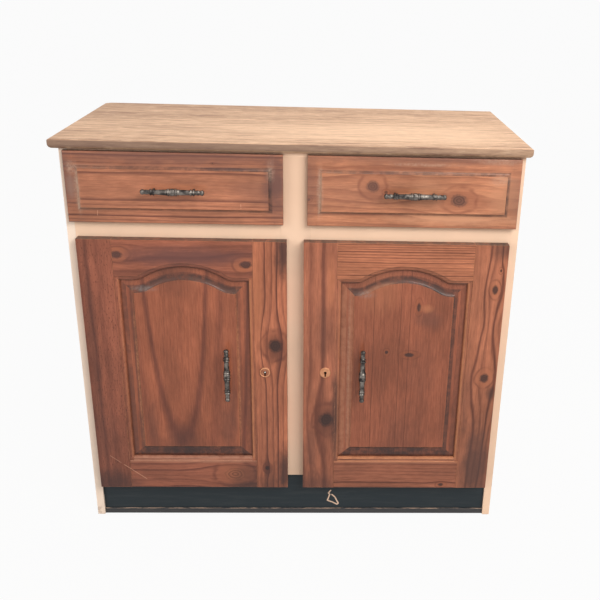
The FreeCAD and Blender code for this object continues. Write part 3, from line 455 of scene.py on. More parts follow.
# Drawer fronts: painted shade in the top, bottom and right coves, and a chalky painted highlight in the left
# one.
drawer_ledges = [
    slope("Up", 0.6, DIRT_AND_SHADE, 0.12, 0.4, DRAWER_COVE),
    slope("Down", 0.5, DIRT_AND_SHADE, 0.05, 0.3, DRAWER_COVE),
    slope("Right", 0.8, DIRT_AND_SHADE, 0.03, 0.3, DRAWER_COVE),
    slope("Left", 0.65, CHALK_HIGHLIGHT, 0.05, 0.35, DRAWER_COVE, 0.2)]
# Panels: a dark tone in the upper cove with a faint chalky painted highlight, and painted shade on the upper
# bevel and the lower slopes.
panel_ledges = [
    slope("Up", 0.9, (46, 40, 41), 0.03, 0.12, PANEL_COVE),
    slope("Up", 0.08, CHALK_HIGHLIGHT, 0.12, 0.35, PANEL_COVE, -0.6),
    slope("Up", 0.3, SHADE, 0.03, 0.12),
    slope("Down", 0.85, DIRT_AND_SHADE, 0.02, 0.07)]
boards = {}
print(len(drawer_ledges), "ledges on a drawer front and", len(panel_ledges), "on a panel")

# %% [markdown]
# The drawer fronts have grain from left to right. The left one is nearly plain in its middle, with close
# lines above and below and chalky painted highlights at its ends. The right one is paler and has two large
# soft knots. Mauve patches paint shade on both, under the worktop's edge and at their ends.

# %% Drawer fronts
boards["left_drawer_front"] = dict(
    grain="X", early=(178, 116, 87), late=(96, 53, 44), heart=(772, 49), ring=6.0, wobble=2.0, plain=58.0,
    contrast=1.0, seed=1.0, knots=[(-154.6, 818.2, 1.3, 1.6)], ledges=drawer_ledges, gloss=0.4,
    # Painted shade: mauve patches under the worktop's edge and at both ends.
    patches=[(-230, 832, 260, 24, 0.65, MAUVE_SHADE), (-436, 780, 24, 60, 0.75, MAUVE_SHADE),
             (-34, 775, 28, 66, 0.95, MAUVE_SHADE), (-80, 765, 50, 30, 0.3, MAUVE_SHADE),
             (-427, 769, 9, 26, 0.5, (150, 122, 110))],
    # Painted highlights in the coves at both ends.
    rubs=[(-414, 764, 7, 52, 0.5, CHALK_HIGHLIGHT), (-424, 804, 9, 16, 0.5, CHALK_HIGHLIGHT), (-44, 804, 9, 22, 0.4, CHALK_HIGHLIGHT)],
    scratches=[((-102, 741), (-102, 732), 0.6), ((-380, 722), (-381, 712), 0.5)])
boards["right_drawer_front"] = dict(
    grain="X", early=(186, 124, 92), late=(124, 69, 52), heart=(640, 26), slant=0.02, ring=19.0, wobble=6.0,
    contrast=0.62, hair=0.25, seed=2.0, ledges=drawer_ledges, gloss=0.4,
    knots=[(153.7, 781.5, 15, 1.1, 0.85), (323.6, 756.3, 17, 1.2, 0.82), (29.7, 750.6, 3, 1.2),
           (180, 770, 7, 1.2, 0.5)], halo=(172, 108, 79), core=(108, 72, 60),
    # Painted shade: mauve patches along the top border and at both ends.
    patches=[(30, 770, 22, 70, 0.55, MAUVE_SHADE), (205, 816, 230, 7, 0.5, (128, 74, 56)),
             (200, 836, 260, 16, 0.55, MAUVE_SHADE), (380, 838, 130, 14, 0.5, MAUVE_SHADE),
             (436, 770, 24, 60, 0.6, MAUVE_SHADE), (110, 768, 90, 40, 0.3, MAUVE_SHADE),
             (262, 772, 40, 34, 0.35, HONEY), (412, 765, 44, 50, 0.45, HONEY),
             (320, 716, 140, 14, 0.8, (212, 154, 119))],
    # Painted highlights at the left end's cove, along the top border and near the right end.
    rubs=[(51, 766, 7, 52, 0.5, CHALK_HIGHLIGHT), (255, 824, 80, 4, 0.35, CHALK_HIGHLIGHT), (400, 833, 50, 7, 0.35, CHALK_HIGHLIGHT),
          (402, 797, 26, 12, 0.4, CHALK_HIGHLIGHT)])
print(len(boards), "drawer fronts")

# %% [markdown]
# The stiles and panels of the doors have grain from top to bottom, the rails from left to right. The left
# panel is a flat-sawn face, whose arches hang with their points down. A long scratch crosses from its hinge
# stile into the bottom rail, so both boards carry a part of it.

# %% Left door
# Left door: the stiles' beads are lightened, as wear and a painted highlight; the top rail's downward bead
# has painted shade, the bottom rail's upward bead and top edge a painted highlight, and the panel's side
# slopes painted shade.
boards["left_hinge_stile"] = dict(
    grain="Z", early=(148, 88, 68), late=(94, 52, 44), heart=(-560, 20), ring=22.0, wobble=3.5, soft=0.4,
    contrast=0.7, seed=3.0, flecks=0.9, ledges=[top_edge, slope("Right", 0.28, BEAD_WEAR_AND_HIGHLIGHT, 0.1, 0.45)],
    patches=[(100, -400, 40, 60, 0.75, SMOKE), (200, -420, 120, 50, 0.35, SMOKE),
             (420, -412, 260, 12, 0.35, SMOKE)],
    scratches=[((169, -400.9), (151.2, -378.3), 0.4), ((146.5, -372.2), (109.8, -325.5), 0.7)])
boards["left_lock_stile"] = dict(
    grain="Z", early=(176, 108, 80), late=(86, 46, 40), heart=(-160, 30), slant=0.008, ring=11.5, wobble=2.5,
    contrast=0.9, seed=4.0, ledges=[top_edge, slope("Left", 0.65, BEAD_WEAR_AND_HIGHLIGHT, 0.1, 0.45)],
    knots=[(437.5, -37.9, 13, 1.15, 1.15), (138.6, -59, 5, 1.3)], halo=(100, 54, 41), core=(42, 32, 30),
    patches=[(640, -20, 60, 20, 0.85, SMOKE), (130, -20, 70, 20, 0.85, SMOKE), (70, -50, 50, 60, 0.4, SMOKE),
             (200, -60, 130, 30, 0.25, SMOKE), (540, -74, 120, 12, 0.35, AMBER),
             (430, -36, 38, 24, 0.4, SMOKE), (100, -56, 50, 30, 0.4, SMOKE)])
boards["left_top_rail"] = dict(
    grain="X", early=(158, 95, 73), late=(92, 53, 46), heart=(560, 60), slant=0.02, ring=18.0, wobble=4.0,
    soft=0.2, contrast=0.85, seed=5.0, ledges=[top_edge, slope("Down", 0.25, DIRT_AND_SHADE, 0.05, 0.2)],
    knots=[(-349.5, 634, 9.5, 1.4, 0.95), (-95.5, 616.5, 9.5, 1.6, 0.95)], halo=(190, 116, 80),
    patches=[(-215, 632, 170, 24, 0.8, (104, 68, 64))])
boards["left_bottom_rail"] = dict(
    grain="X", early=(155, 94, 73), late=(90, 49, 42), heart=(60, 30), slant=0.02, ring=11.0, wobble=4.0,
    contrast=0.9, seed=6.0, ledges=[slope("Up", 0.75, (176, 126, 104), 0.1, 0.4)],
    knots=[(-129.9, 122.9, 15, 1.5, 1.1)], halo=(158, 96, 70), core=(158, 98, 72),
    patches=[(-100, 92, 60, 18, 0.75, SMOKE), (-370, 96, 50, 22, 0.5, SMOKE), (-96, 126, 50, 34, 0.45, SMOKE),
             (-225, 157, 190, 6, 0.55, (186, 134, 110))],
    scratches=[((-372.2, 146.5), (-325.5, 109.8), 0.7)])
boards["left_door_panel"] = dict(
    grain="Z", early=(156, 91, 66), late=(94, 51, 43), heart=(-240, 95), slant=0.1186, ring=24.0, wobble=2.0,
    plain=64.0, soft=0.38, contrast=0.85, seed=7.0, wear=0.75, gloss=0.28,
    ledges=panel_ledges + [slope("Left", 0.75, SHADE, 0.03, 0.2), slope("Right", 0.5, SHADE, 0.03, 0.2)],
    patches=[(200, -245, 50, 50, 0.4, SMOKE), (600, -240, 60, 50, 0.3, SMOKE),
             (300, -130, 140, 10, 0.25, SMOKE), (240, -300, 70, 14, 0.35, SMOKE),
             (240, -145, 70, 20, 0.45, SMOKE)],
    # Painted highlights: a grey one on the arch and pale lines along the field's ridges.
    rubs=[(561, -302, 6, 26, 0.4, (150, 146, 144)), (375, -326, 190, 3, 0.6, BEAD_WEAR_AND_HIGHLIGHT),
          (370, -116, 190, 3, 0.5, BEAD_WEAR_AND_HIGHLIGHT)])
print(len(boards), "pine boards with the left door")

# %% [markdown]
# The right door's panel is glued up from four narrow strips. At each joint the rings jump sideways, as they
# do where two boards meet, and a thin glue line shows.

# %% Right door
# Right door: the stiles' beads are lightened, as wear and a painted highlight; the top rail's downward bead
# has painted shade, the bottom rail's upward bead and top edge a painted highlight, and the panel has a
# painted highlight on its left slope and painted shade on its right one.
boards["right_hinge_stile"] = dict(
    grain="Z", early=(172, 108, 81), late=(90, 49, 40), heart=(330, 40), slant=0.03, ring=13.0, wobble=7.0,
    soft=0.4, contrast=0.9, seed=8.0, ledges=[top_edge, slope("Left", 0.55, BEAD_WEAR_AND_HIGHLIGHT, 0.1, 0.45)],
    knots=[(366.6, 406.5, 17, 1.1, 0.62), (569.8, 412.4, 11, 1.6, 0.6), (611.5, 420.5, 2.5, 1.5)],
    halo=(172, 106, 76),
    patches=[(140, 405, 130, 40, 0.85, (84, 58, 52)), (660, 420, 30, 26, 0.6, SMOKE),
             (330, 425, 20, 16, 0.6, SMOKE), (320, 370, 90, 12, 0.35, SMOKE)])
boards["right_lock_stile"] = dict(
    grain="Z", early=(168, 104, 79), late=(98, 55, 45), heart=(140, 40), slant=0.05, ring=20.0, wobble=4.0,
    soft=0.25, contrast=0.85, seed=9.0, ledges=[top_edge, slope("Right", 0.3, BEAD_WEAR_AND_HIGHLIGHT, 0.1, 0.45)],
    knots=[(263.8, 70.3, 16, 1.25, 0.98)], halo=(98, 55, 42), core=(42, 32, 30),
    patches=[(95, 50, 40, 60, 0.55, SMOKE), (470, 60, 70, 20, 0.3, SMOKE), (280, 90, 130, 12, 0.75, SMOKE),
             (185, 39, 70, 16, 0.45, SMOKE), (580, 76, 70, 10, 0.35, AMBER), (262, 70, 46, 20, 0.35, SMOKE)])
boards["right_top_rail"] = dict(
    grain="X", early=(180, 114, 84), late=(94, 52, 42), heart=(300, 0), ring=5.4, wobble=1.4, soft=0.15,
    contrast=0.95, seed=10.0, ledges=[top_edge, slope("Down", 0.25, DIRT_AND_SHADE, 0.05, 0.2)])
boards["right_bottom_rail"] = dict(
    grain="X", early=(158, 98, 75), late=(88, 48, 39), heart=(20, 20), slant=0.01, ring=10.0, wobble=3.5,
    soft=0.15, contrast=0.95, seed=11.0, ledges=[slope("Up", 0.75, BEAD_WEAR_AND_HIGHLIGHT, 0.1, 0.4)],
    knots=[(330.4, 96.4, 4.5, 1.4)],
    patches=[(200, 82, 190, 10, 0.5, SMOKE), (225, 156, 190, 5, 0.45, (186, 130, 102))])
boards["right_door_panel"] = dict(
    grain="Z", early=(149, 87, 64), late=(102, 57, 46), heart=(600, 0), ring=8.5, wobble=2.2, soft=0.35,
    contrast=0.24, hair=0.3, seed=12.0, wear=0.75, gloss=0.28, strips=[165.9, 221.2, 241.0],
    ledges=panel_ledges + [slope("Left", 0.55, (184, 126, 97), 0.03, 0.2),
                           slope("Right", 0.8, DIRT_AND_SHADE, 0.1, 0.3)],
    knots=[(425.2, 194.9, 4.0, 1.2), (419.2, 243, 11, 0.46), (528, 258, 4.4, 2.2)],
    patches=[(500, 280, 26, 34, 0.45, (88, 60, 54)), (526, 274, 10, 14, 0.5, (190, 124, 88)),
             (200, 230, 120, 60, 0.25, SMOKE), (380, 268, 90, 40, 0.2, SMOKE),
             (560, 180, 60, 50, 0.25, (190, 124, 90))],
    # Painted highlights: a grey one on the arch and a pale line along the field's ridge.
    rubs=[(554, 147, 8, 20, 0.35, (150, 142, 136)), (390, 115, 190, 4, 0.5, (182, 142, 118))])
print(len(boards), "pine boards with both doors")


# %% Painting the boards
def paint(node, material):
    slots = nodes[node].data.materials
    slots.clear()
    slots.append(material)


for node, look in boards.items():
    paint(node, pine("pine_" + node, face=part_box(node)[0].y / MM - FRONT_FACE, **look))
print(len(boards), "pine boards painted")

# %% [markdown]
# ## Faced board
# The carcass is faced board: an even cream film with the faintest mottle, grime and painted shade in its
# corners and a chipped foot. The left side gets a paler copy of the film, which is painted light, and the top
# of the centre stile has painted shade under the worktop's edge. The same recipe, with more mottle, makes the
# hardboard of the back.

# %% Faced board
FILM_DIRT_AND_SHADE = (126, 88, 66)
CHIPPED = (120, 84, 66)
FILM_SHADE = (200, 160, 132)


def faced(name, colour, rough=0.42, mottle=0.03, dirt=0.2, shade=0.0):
    made, g, shader = new_material(name)
    height = g.parts(g.here())[2]
    cloud = g.ease(g.noise(g.here(), 9.0, 4.0, 0.6), 0.3, 0.7, 1 - mottle, 1 + mottle)
    base = g.shade(srgb(*colour), cloud)
    # Painted shade and dirt in the corners, from the occlusion mask.
    base = g.mix(g.use("grime_and_shade", {"Reach": 0.010, "Amount": dirt})["Mask"], base, srgb(*FILM_DIRT_AND_SHADE))
    chips = g.ease(g.noise(g.here(), 70.0, 4.0, 0.65), 0.48, 0.66)
    base = g.tint(base, g.math("MULTIPLY", g.ease(height, 0.004, 0.030, 1.0, 0.0), chips), 0.6, CHIPPED)
    # Painted shade at the top, where a shade level is given: the centre stile under the worktop's edge.
    base = g.tint(base, g.ease(height, 0.62, 0.78), shade, FILM_SHADE)
    grain = g.node("Bump", {"Strength": 0.05, "Distance": 0.0003, "Height": g.noise(g.here(), 900.0, 2.0)})
    g.fill(shader, {"Base Color": base, "Roughness": rough, "Normal": grain, "Specular IOR Level": 0.3})
    return made


cream = faced("cream_film", (250, 216, 188))
# A paler copy of the cream film for the left side: painted light.
lit_cream = faced("lit_cream_film", (253, 232, 214))
# The centre stile's film: cream with painted shade at its top.
shaded = faced("shaded_film", (250, 217, 190), shade=0.35)
hardboard = faced("hardboard", (132, 96, 66), 0.7, 0.12, 0.3)
print("faced boards:", cream.name, lit_cream.name, shaded.name, hardboard.name)

# %% [markdown]
# ## The worktop's film
# The worktop's film carries a printed oak grain, so it is made like the grain of a picture and not like a
# trunk: streaks, broad bands, short lines and pores, all stretched along the worktop. The grain runs over
# the rolled front, because depth and height are added up to one distance. The film is paler near the front,
# which is painted sheen and partly rubbed wear, and the rolled front edge is painted darker and greyer, more
# on the left, which is painted shade and partly a grubby edge. A rather rough, matt surface keeps lamps from
# washing it out.

# %% Worktop film
def worktop_film():
    made, g, shader = new_material("worktop_film")
    x, z, y = g.parts(board_space(g, "X"))
    spread = g.node("CombineXYZ", (x, g.math("ADD", y, z), 0.0))
    streak = g.noise(g.scaled(spread, 0.006, 0.11, 1.0), 1.0, 7.0, 0.72, 0.2)
    broad = g.noise(g.scaled(spread, 0.0025, 0.016, 1.0), 1.0, 4.0, 0.55, 0.5)
    pore = g.ease(g.noise(g.scaled(spread, 0.035, 0.8, 1.0), 1.0, 2.0, 0.5), 0.56, 0.68)
    short = g.noise(g.scaled(spread, 0.03, 0.17, 1.0), 1.0, 4.0, 0.65)
    band = g.math("ADD", broad, g.ease(x, -420.0, 300.0, 0.10, -0.08), g.ease(y, 120.0, 420.0, -0.06, 0.10))
    base = g.tint(srgb(214, 176, 144), g.ease(band, 0.40, 0.70), 0.75, (180, 144, 116))
    base = g.tint(base, g.ease(streak, 0.48, 0.64), 0.9, (141, 106, 86))
    base = g.tint(base, pore, 0.45, (114, 89, 81))
    base = g.tint(base, g.ease(short, 0.50, 0.66), 0.35, (145, 110, 90))
    base = g.tint(base, g.ease(short, 0.34, 0.48, 1.0, 0.0), 0.4, (250, 216, 184))
    # Painted sheen, partly rubbed wear: a paler band near the front, strongest in the middle.
    near_front = g.math("MULTIPLY", g.ease(y, 30.0, 90.0), g.ease(y, 180.0, 300.0, 1.0, 0.0))
    paler = g.math("MULTIPLY", near_front, g.ease(x, -300.0, 150.0, 0.2, 1.0),
                    g.ease(x, 340.0, 460.0, 1.0, 0.2))
    base = g.tint(base, paler, 0.45, (245, 208, 175))
    # The forward-facing rolled edge is painted darker and greyer, more on the left: painted shade, partly a
    # grubby edge.
    upright = g.ease(g.math("ABSOLUTE", g.facing()[2]), 0.35, 0.85, 1.0, 0.0)
    rolled_shade_and_grime = g.math("MULTIPLY", upright, g.ease(x, -100.0, 440.0, 0.76, 0.44))
    base = g.mix(rolled_shade_and_grime, base, srgb(124, 101, 90))
    g.fill(shader, {"Base Color": base, "Roughness": g.ease(streak, 0.3, 0.7, 0.52, 0.64),
                    "Normal": g.node("Bump", {"Strength": 0.12, "Distance": 0.0004, "Height": streak}),
                    "Specular IOR Level": 0.25})
    return made


film = {"worktop": worktop_film()}
print("worktop film has", len(film["worktop"].node_tree.nodes), "nodes")

# %% [markdown]
# ## Plinth and seal
# The plinth's film is black and scuffed, with a flaked pale mark, which is a chain of short scratches. The
# seal strip under it has a pale line along its top edge where the mop hits it.

# %% Plinth and seal films
FLAKED = [(83, 61), (78, 54), (81, 50), (76, 34), (88, 29), (98, 23), (101, 26), (93, 43), (86, 50)]
FLAKE_HALF = 1.6


def plinth_film():
    made, g, shader = new_material("plinth_film")
    board = board_space(g, "X")
    scuff = g.noise(g.scaled(board, 0.01, 0.08, 0.08), 1.0, 5.0, 0.7)
    base = g.tint(srgb(30, 39, 44), g.ease(scuff, 0.45, 0.75), 0.5, (50, 55, 58))
    flakes = [scratch(g, board, start, end, FLAKE_HALF, 0.25) for start, end in zip(FLAKED, FLAKED[1:])]
    base = g.tint(base, g.math("MAXIMUM", *flakes), 0.95, (232, 200, 176))
    g.fill(shader, {"Base Color": base, "Roughness": g.ease(scuff, 0.3, 0.7, 0.5, 0.35),
                    "Specular IOR Level": 0.3})
    return made


def seal_film():
    made, g, shader = new_material("seal_film")
    board = board_space(g, "X")
    height = g.parts(board)[1]
    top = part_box("plinth_seal_strip")[1].z / MM
    paler = g.noise(g.scaled(board, 0.03, 0.3, 0.3), 1.0, 4.0, 0.7)
    line = g.math("MULTIPLY", g.ease(height, top - 2.4, top - 1.0), g.ease(paler, 0.42, 0.56))
    base = g.tint(srgb(60, 60, 62), g.ease(paler, 0.4, 0.8), 0.5, (88, 84, 82))
    base = g.tint(base, line, 0.6, (198, 168, 146))
    g.fill(shader, {"Base Color": base, "Roughness": 0.55, "Specular IOR Level": 0.3})
    return made


film["plinth_board"] = plinth_film()
film["plinth_seal_strip"] = seal_film()
print(len(FLAKED) - 1, "scratches make the flaked mark")

# %% [markdown]
# ## Inside the cupboard
# The drawer boxes and runners are bare pine without varnish, so the pine finish is used again with no gloss
# and little contrast. Every other board of the carcass gets a film.

# %% Painting the carcass
inside = dict(grain="X", heart=(0, 400), gloss=0.0)
box_wood = pine("box_wood", early=(206, 170, 124), late=(166, 124, 84), ring=8.0, wobble=3.0, seed=20.0,
                contrast=0.5, **inside)
runner_wood = pine("runner_wood", early=(184, 144, 98), late=(150, 110, 70), ring=6.0, wobble=2.0, seed=21.0,
                   contrast=0.4, **inside)
film["back_panel"] = hardboard
film["drawer_runners"] = runner_wood
film["left_side_panel"] = lit_cream
film["centre_stile"] = shaded
for node in ("right_side_panel", "bottom_panel", "centre_partition", "top_front_rail", "top_back_rail",
             "left_mid_rail", "right_mid_rail", "left_shelf", "right_shelf"):
    film[node] = cream
for hand in ("left", "right"):
    film[f"{hand}_drawer_bottom"] = hardboard
    for piece in ("box_front", "outer_side", "inner_side", "back"):
        film[f"{hand}_drawer_{piece}"] = box_wood
for node, material in film.items():
    paint(node, material)
print(len(film), "boards with a facing or bare wood")

# %% [markdown]
# ## Metal
# The pulls are cast, dipped dark and rubbed bright where hands and cloth reach. The keyhole plates are
# copper-toned brass, the left one duller. Hinges, screws, pins and locks are plain plated steel, and the
# guide pin in the left lock is bright. One function makes them all: a clouded base, dark hollows and bright
# worn edges.

# %% Metal finishes
HOLLOW_SHARE = 0.4
ROUGH_SPREAD = 0.15


def metal(name, bright, dark, rough, hollow):
    """A metal between a bright and a dark tone; hollow is how deep a corner has to be to look dirty."""
    made, g, shader = new_material(name)
    cloud = g.noise(g.here(), 110.0, 3.0, 0.5)
    low = g.use("grime_and_shade", {"Reach": hollow, "Amount": 1.0})["Mask"]
    high = g.use("edge_wear", {"Radius": 0.0012, "Amount": 0.7})["Mask"]
    base = g.mix(g.ease(cloud, 0.3, 0.7, 0.55, 1.0), srgb(*bright), srgb(*dark))
    base = g.mix(low, base, srgb(*[part * HOLLOW_SHARE for part in dark]))
    base = g.mix(high, base, srgb(*bright))
    g.fill(shader, {"Base Color": base, "Metallic": 1.0,
                    "Roughness": g.ease(cloud, 0.3, 0.7, rough, rough + ROUGH_SPREAD),
                    "Normal": g.node("Bump", {"Strength": 0.25, "Distance": 0.0004, "Height": cloud})})
    return made


pewter = metal("pewter", (178, 168, 158), (50, 48, 48), 0.34, 0.008)
copper = metal("copper_brass", (232, 172, 132), (190, 134, 100), 0.45, 0.003)
dull_copper = metal("dull_copper", (206, 144, 112), (150, 96, 74), 0.40, 0.003)
steel = metal("plated_steel", (186, 184, 180), (136, 134, 130), 0.34, 0.004)
bright_steel = metal("bright_steel", (250, 246, 240), (226, 222, 216), 0.5, 0.0004)
plates = {"left_escutcheon": dull_copper, "right_escutcheon": copper}
for node in nodes:
    if node not in film and node not in boards:
        paint(node, plates.get(node, steel))
print("metal on", len(nodes) - len(film) - len(boards), "nodes")

# %% [markdown]
# ## Softened edges
# No sawn board has a perfectly sharp edge. Each board's flat faces are joined up again from their
# triangles, then every corner sharper than 40 degrees is rounded by under a millimetre. That thin round is
# what catches the light along an edge. Modifiers do it, so the CAD meshes stay as they were packed. The
# worktop is left out, because CAD has rounded it already.

# %% Rounded arrises
WELD_GAP = 0.00002
FLAT_ANGLE = math.radians(1.0)
CORNER_ANGLE = math.radians(40)
PINE_ROUND = 0.9 * MM
FILM_ROUND = 0.5 * MM


def soften(node, width):
    stack = nodes[node].modifiers
    stack.new("weld", "WELD").merge_threshold = WELD_GAP
    flat = stack.new("flat", "DECIMATE")
    flat.decimate_type = "DISSOLVE"
    flat.angle_limit = FLAT_ANGLE
    edge = stack.new("edge", "BEVEL")
    edge.width = width
    edge.segments = 2
    edge.limit_method = "ANGLE"
    edge.angle_limit = CORNER_ANGLE
    edge.harden_normals = True


for node in boards:
    soften(node, PINE_ROUND)
for node in film:
    if node != "worktop":
        soften(node, FILM_ROUND)
print("softened", len(boards) + len(film) - 1, "boards")

# %% [markdown]
# ## Turned pulls
# Each pull is a casting from a turned pattern: a barrel between two beads, two tapering shafts with twisted
# flutes, a double collar over each post and a small ball at each tip. The profile is a list of (distance
# from the middle, radius), spun round the bar. A lathe could only give round sections, so the flutes come
# from a ripple in the radius that turns slowly along the shaft.

# %% A lathe for meshes
SPOKES = 40


def spun(name, profile, axis, start, material, ring=False, flutes=None):
    """A mesh spun from (distance, radius) pairs in millimetres; a ring's profile closes on itself."""
    along = Vector(axis)
    out = along.orthogonal().normalized()
    side = along.cross(out)
    points = []
    for reach, radius in profile:
        for step in range(SPOKES):
            angle = 2 * math.pi * step / SPOKES
            wide = radius * (1 + flutes(reach, angle) if flutes else 1)
            spoke = math.cos(angle) * out + math.sin(angle) * side
            points.append(start + MM * (along * reach + wide * spoke))
    count = len(profile)
    faces = []
    for row in range(count if ring else count - 1):
        low, high = row * SPOKES, (row + 1) % count * SPOKES
        for step in range(SPOKES):
            after = (step + 1) % SPOKES
            faces.append((low + step, low + after, high + after, high + step))
    if not ring:
        faces.append(tuple(reversed(range(SPOKES))))
        faces.append(tuple(range((count - 1) * SPOKES, count * SPOKES)))
    mesh = bpy.data.meshes.new(name)
    mesh.from_pydata(points, [], faces)
    mesh.polygons.foreach_set("use_smooth", [True] * len(faces))
    mesh.materials.append(material)
    made = bpy.data.objects.new(name, mesh)
    bpy.context.scene.collection.objects.link(made)
    return made


# %% Pulls
HALF_BAR = [
    (0.0, 7.0), (1.6, 7.4), (3.6, 7.0), (4.6, 5.8), (5.2, 6.0), (6.0, 7.3), (7.2, 7.5), (8.3, 7.1),
    (9.0, 5.6), (9.8, 5.5), (10.6, 6.6), (11.6, 6.6), (12.4, 5.4), (14.0, 5.4), (32.4, 4.6), (33.4, 5.2),
    (34.4, 6.4), (35.8, 6.5), (36.8, 5.4), (38.0, 5.0), (39.2, 5.4), (40.2, 6.5), (41.6, 6.4), (42.6, 4.8),
    (43.4, 4.0), (46.0, 4.6), (49.0, 5.0), (51.4, 4.5), (52.6, 3.8), (53.4, 4.6), (55.0, 5.3), (57.0, 5.4),
    (59.0, 4.6), (60.2, 2.8), (60.8, 0.3)]
POST = [(0.0, 2.7), (0.8, 2.7), (1.6, 2.4), (15.0, 2.4), (19.0, 2.8)]
SHAFT_FROM, SHAFT_TO, SHAFT_ROWS = 14.0, 32.4, 12
SHAFT_THICK, SHAFT_THIN = 5.4, 4.6
FLUTES, FLUTE_DEPTH, FLUTE_TWIST = 8, 0.07, 0.35
POST_SPACING, BAR_RADIUS = 76.0, 7.5


def twisted(reach, angle):
    """The shafts' flutes, as a share of the radius."""
    if SHAFT_FROM < abs(reach) < SHAFT_TO:
        return FLUTE_DEPTH * math.cos(FLUTES * angle + FLUTE_TWIST * reach)
    return 0.0


half = list(HALF_BAR)
for step in range(1, SHAFT_ROWS):
    reach = SHAFT_FROM + (SHAFT_TO - SHAFT_FROM) * step / SHAFT_ROWS
    half.append((reach, SHAFT_THICK + (SHAFT_THIN - SHAFT_THICK) * step / SHAFT_ROWS))
half.sort()
bar = [(-reach, radius) for reach, radius in reversed(half[1:])] + half
for hand in ("left", "right"):
    for kind, axis in (("door", (0, 0, 1)), ("drawer", (1, 0, 0))):
        node = f"{hand}_{kind}_handle"
        low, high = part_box(node)
        middle = (low + high) / 2
        middle.y = low.y + BAR_RADIUS * MM
        pieces = [spun(f"{node}_bar", bar, axis, middle, pewter, flutes=twisted)]
        for end, word in ((-1, "low"), (1, "high")):
            foot = middle + Vector(axis) * end * POST_SPACING / 2 * MM
            foot.y = high.y
            pieces.append(spun(f"{node}_{word}_post", POST, (0, -1, 0), foot, pewter))
        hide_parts(node)
        for piece in pieces:
            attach(piece, f"{hand}_{kind}")
print("each pull's bar has", len(bar) * SPOKES, "points")

# %% [markdown]
# ## The left lock's plate
# The right door's keyhole is a plain plate. The left one has a raised rim, and the lock's bright guide pin
# shows in its hole. Both are small turned pieces, so the same lathe makes them.

# %% Rim and pin
RIM = [(-0.3, 8.4), (0.5, 8.7), (0.9, 9.4), (0.9, 10.2), (0.4, 10.9), (-0.3, 11.2)]
PIN = [(-9.0, 1.5), (-1.2, 1.5), (-0.5, 1.3), (-0.2, 0.8), (-0.1, 0.2)]
low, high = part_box("left_escutcheon")
plate_face = Vector(((low.x + high.x) / 2, low.y, (low.z + high.z) / 2))
for name, profile, material, slot in (("left_plate_rim", RIM, copper, "escutcheon"),
                                      ("left_lock_pin", PIN, bright_steel, "steel")):
    piece = spun(name, profile, (0, -1, 0), plate_face, material, ring=name.endswith("rim"))
    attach(piece, "left_door")
print("left plate", round((high.x - low.x) / MM, 1), "mm across")

# %% [markdown]
# ## Floor and surroundings
# The floor is a plain pale sheet. To the camera and in reflections it is nearly white, so that only a trace
# of shadow shows; to every other ray it is an ordinary surface, so it adds no extra light. The world is made
# the same way: white to look at, and a dim even glow to whatever it lights.

# %% Stage
NEAR_WHITE = (0.993, 0.993, 0.993, 1)
CAMERA_RAY, GLOSSY_RAY, TRANSMISSION_RAY = 0, 3, 6
FLOOR_HALF = 60
FLOOR_WHITE, WORLD_WHITE = 0.96, 1.0
WORLD_GLOW = 0.42


def seen_as_white(g, lit, white, share):
    """The lit shader, but mostly white to the camera, in reflections and through glass."""
    path = g.node("LightPath", out=None).outputs
    looking = g.math("MAXIMUM", path[CAMERA_RAY], path[GLOSSY_RAY], path[TRANSMISSION_RAY])
    return g.node("MixShader", (g.math("MULTIPLY", looking, share), lit, white))


corners = [(-FLOOR_HALF, -FLOOR_HALF, 0), (FLOOR_HALF, -FLOOR_HALF, 0), (FLOOR_HALF, FLOOR_HALF, 0),
           (-FLOOR_HALF, FLOOR_HALF, 0)]
floor_mesh = bpy.data.meshes.new("floor")
floor_mesh.from_pydata(corners, [], [(0, 1, 2, 3)])
floor = bpy.data.objects.new("floor", floor_mesh)
bpy.context.scene.collection.objects.link(floor)
paper, g, shader = new_material("paper")
g.fill(shader, {"Base Color": (0.46, 0.45, 0.44, 1), "Roughness": 0.9})
white = g.node("Emission", {"Color": NEAR_WHITE, "Strength": 1.0})
mixed = seen_as_white(g, shader.outputs[0], white, FLOOR_WHITE)
g.tree.links.new(mixed, g.tree.nodes["Material Output"].inputs[0])
floor_mesh.materials.append(paper)

world = bpy.data.worlds.new("studio")
bpy.context.scene.world = world
world.use_nodes = True
world.node_tree.nodes.clear()
g = Graph(world.node_tree)
leave = g.node("OutputWorld", out=None)
glow = g.node("Background", {"Color": (1.0, 0.97, 0.94, 1), "Strength": WORLD_GLOW})
white = g.node("Background", {"Color": NEAR_WHITE, "Strength": 1.0})
g.tree.links.new(seen_as_white(g, glow, white, WORLD_WHITE), leave.inputs[0])
print("floor", 2 * FLOOR_HALF, "m wide, world glow", WORLD_GLOW)

# %% [markdown]
# ## Light
# A tall soft light on the left gives the mouldings their bright edges, a large one high on the right fills
# the front, and a broad one overhead lights the worktop. All three are rectangles, because a small lamp
# would draw hard shadows under the pulls.

# %% Lamps
WARM_WHITE = (1.0, 0.96, 0.91)


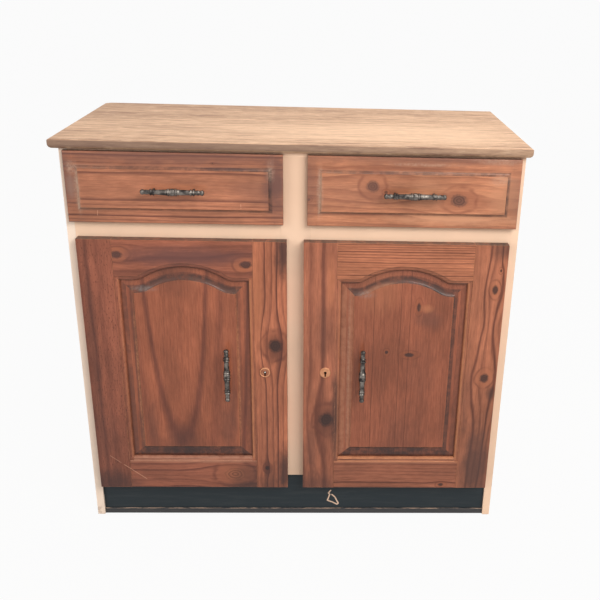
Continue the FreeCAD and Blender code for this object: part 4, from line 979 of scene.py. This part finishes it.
def soft_light(name, place, target, size, power):
    data = bpy.data.lights.new(name, "AREA")
    data.shape = "RECTANGLE"
    data.size, data.size_y = size
    data.energy = power
    data.color = WARM_WHITE
    made = bpy.data.objects.new(name, data)
    bpy.context.scene.collection.objects.link(made)
    made.location = place
    made.rotation_euler = (Vector(target) - made.location).to_track_quat("-Z", "Y").to_euler()
    print("light", name, power, "W")


soft_light("left_window", (-2.4, -2.1, 1.6), (0, -0.2, 0.6), (1.2, 1.9), 24)
soft_light("right_fill", (1.5, -2.2, 2.4), (0.2, -0.2, 0.6), (2.0, 1.4), 71)
soft_light("overhead", (0.35, 0.10, 2.5), (0.2, 0.05, 0.86), (1.8, 1.2), 15)

# %% [markdown]
# ## Camera
# The camera stands a little right of the middle, well above the worktop, looking down and slightly to the
# right, with a small roll. The photo is a crop, so its optical centre isn't the picture's centre, and a
# sideways lens shift gives the same framing.

# %% Camera
FOCAL, CENTRE_X, CENTRE_Y, PICTURE = 823.01, 360.0, 305.0, 600
YAW, PITCH, ROLL = 0.0491, 0.3880, 0.0312
EYE = (0.05911, -1.77742, 1.17136)
ahead = Vector((math.sin(YAW) * math.cos(PITCH), math.cos(YAW) * math.cos(PITCH), -math.sin(PITCH)))
level = Vector((math.cos(YAW), -math.sin(YAW), 0))
upward = level.cross(ahead)
right = math.cos(ROLL) * level + math.sin(ROLL) * upward
up = math.cos(ROLL) * upward - math.sin(ROLL) * level
lens = bpy.data.cameras.new("camera")
lens.sensor_width = 36.0
lens.lens = FOCAL / PICTURE * lens.sensor_width
lens.shift_x = (PICTURE / 2 - CENTRE_X) / PICTURE
lens.shift_y = (CENTRE_Y - PICTURE / 2) / PICTURE
camera = bpy.data.objects.new("camera", lens)
bpy.context.scene.collection.objects.link(camera)
camera.matrix_world = Matrix.Translation(EYE) @ Matrix((right, up, -ahead)).transposed().to_4x4()
bpy.context.scene.camera = camera
bpy.context.scene.view_settings.view_transform = "Standard"
print("lens", round(lens.lens, 2), "mm")
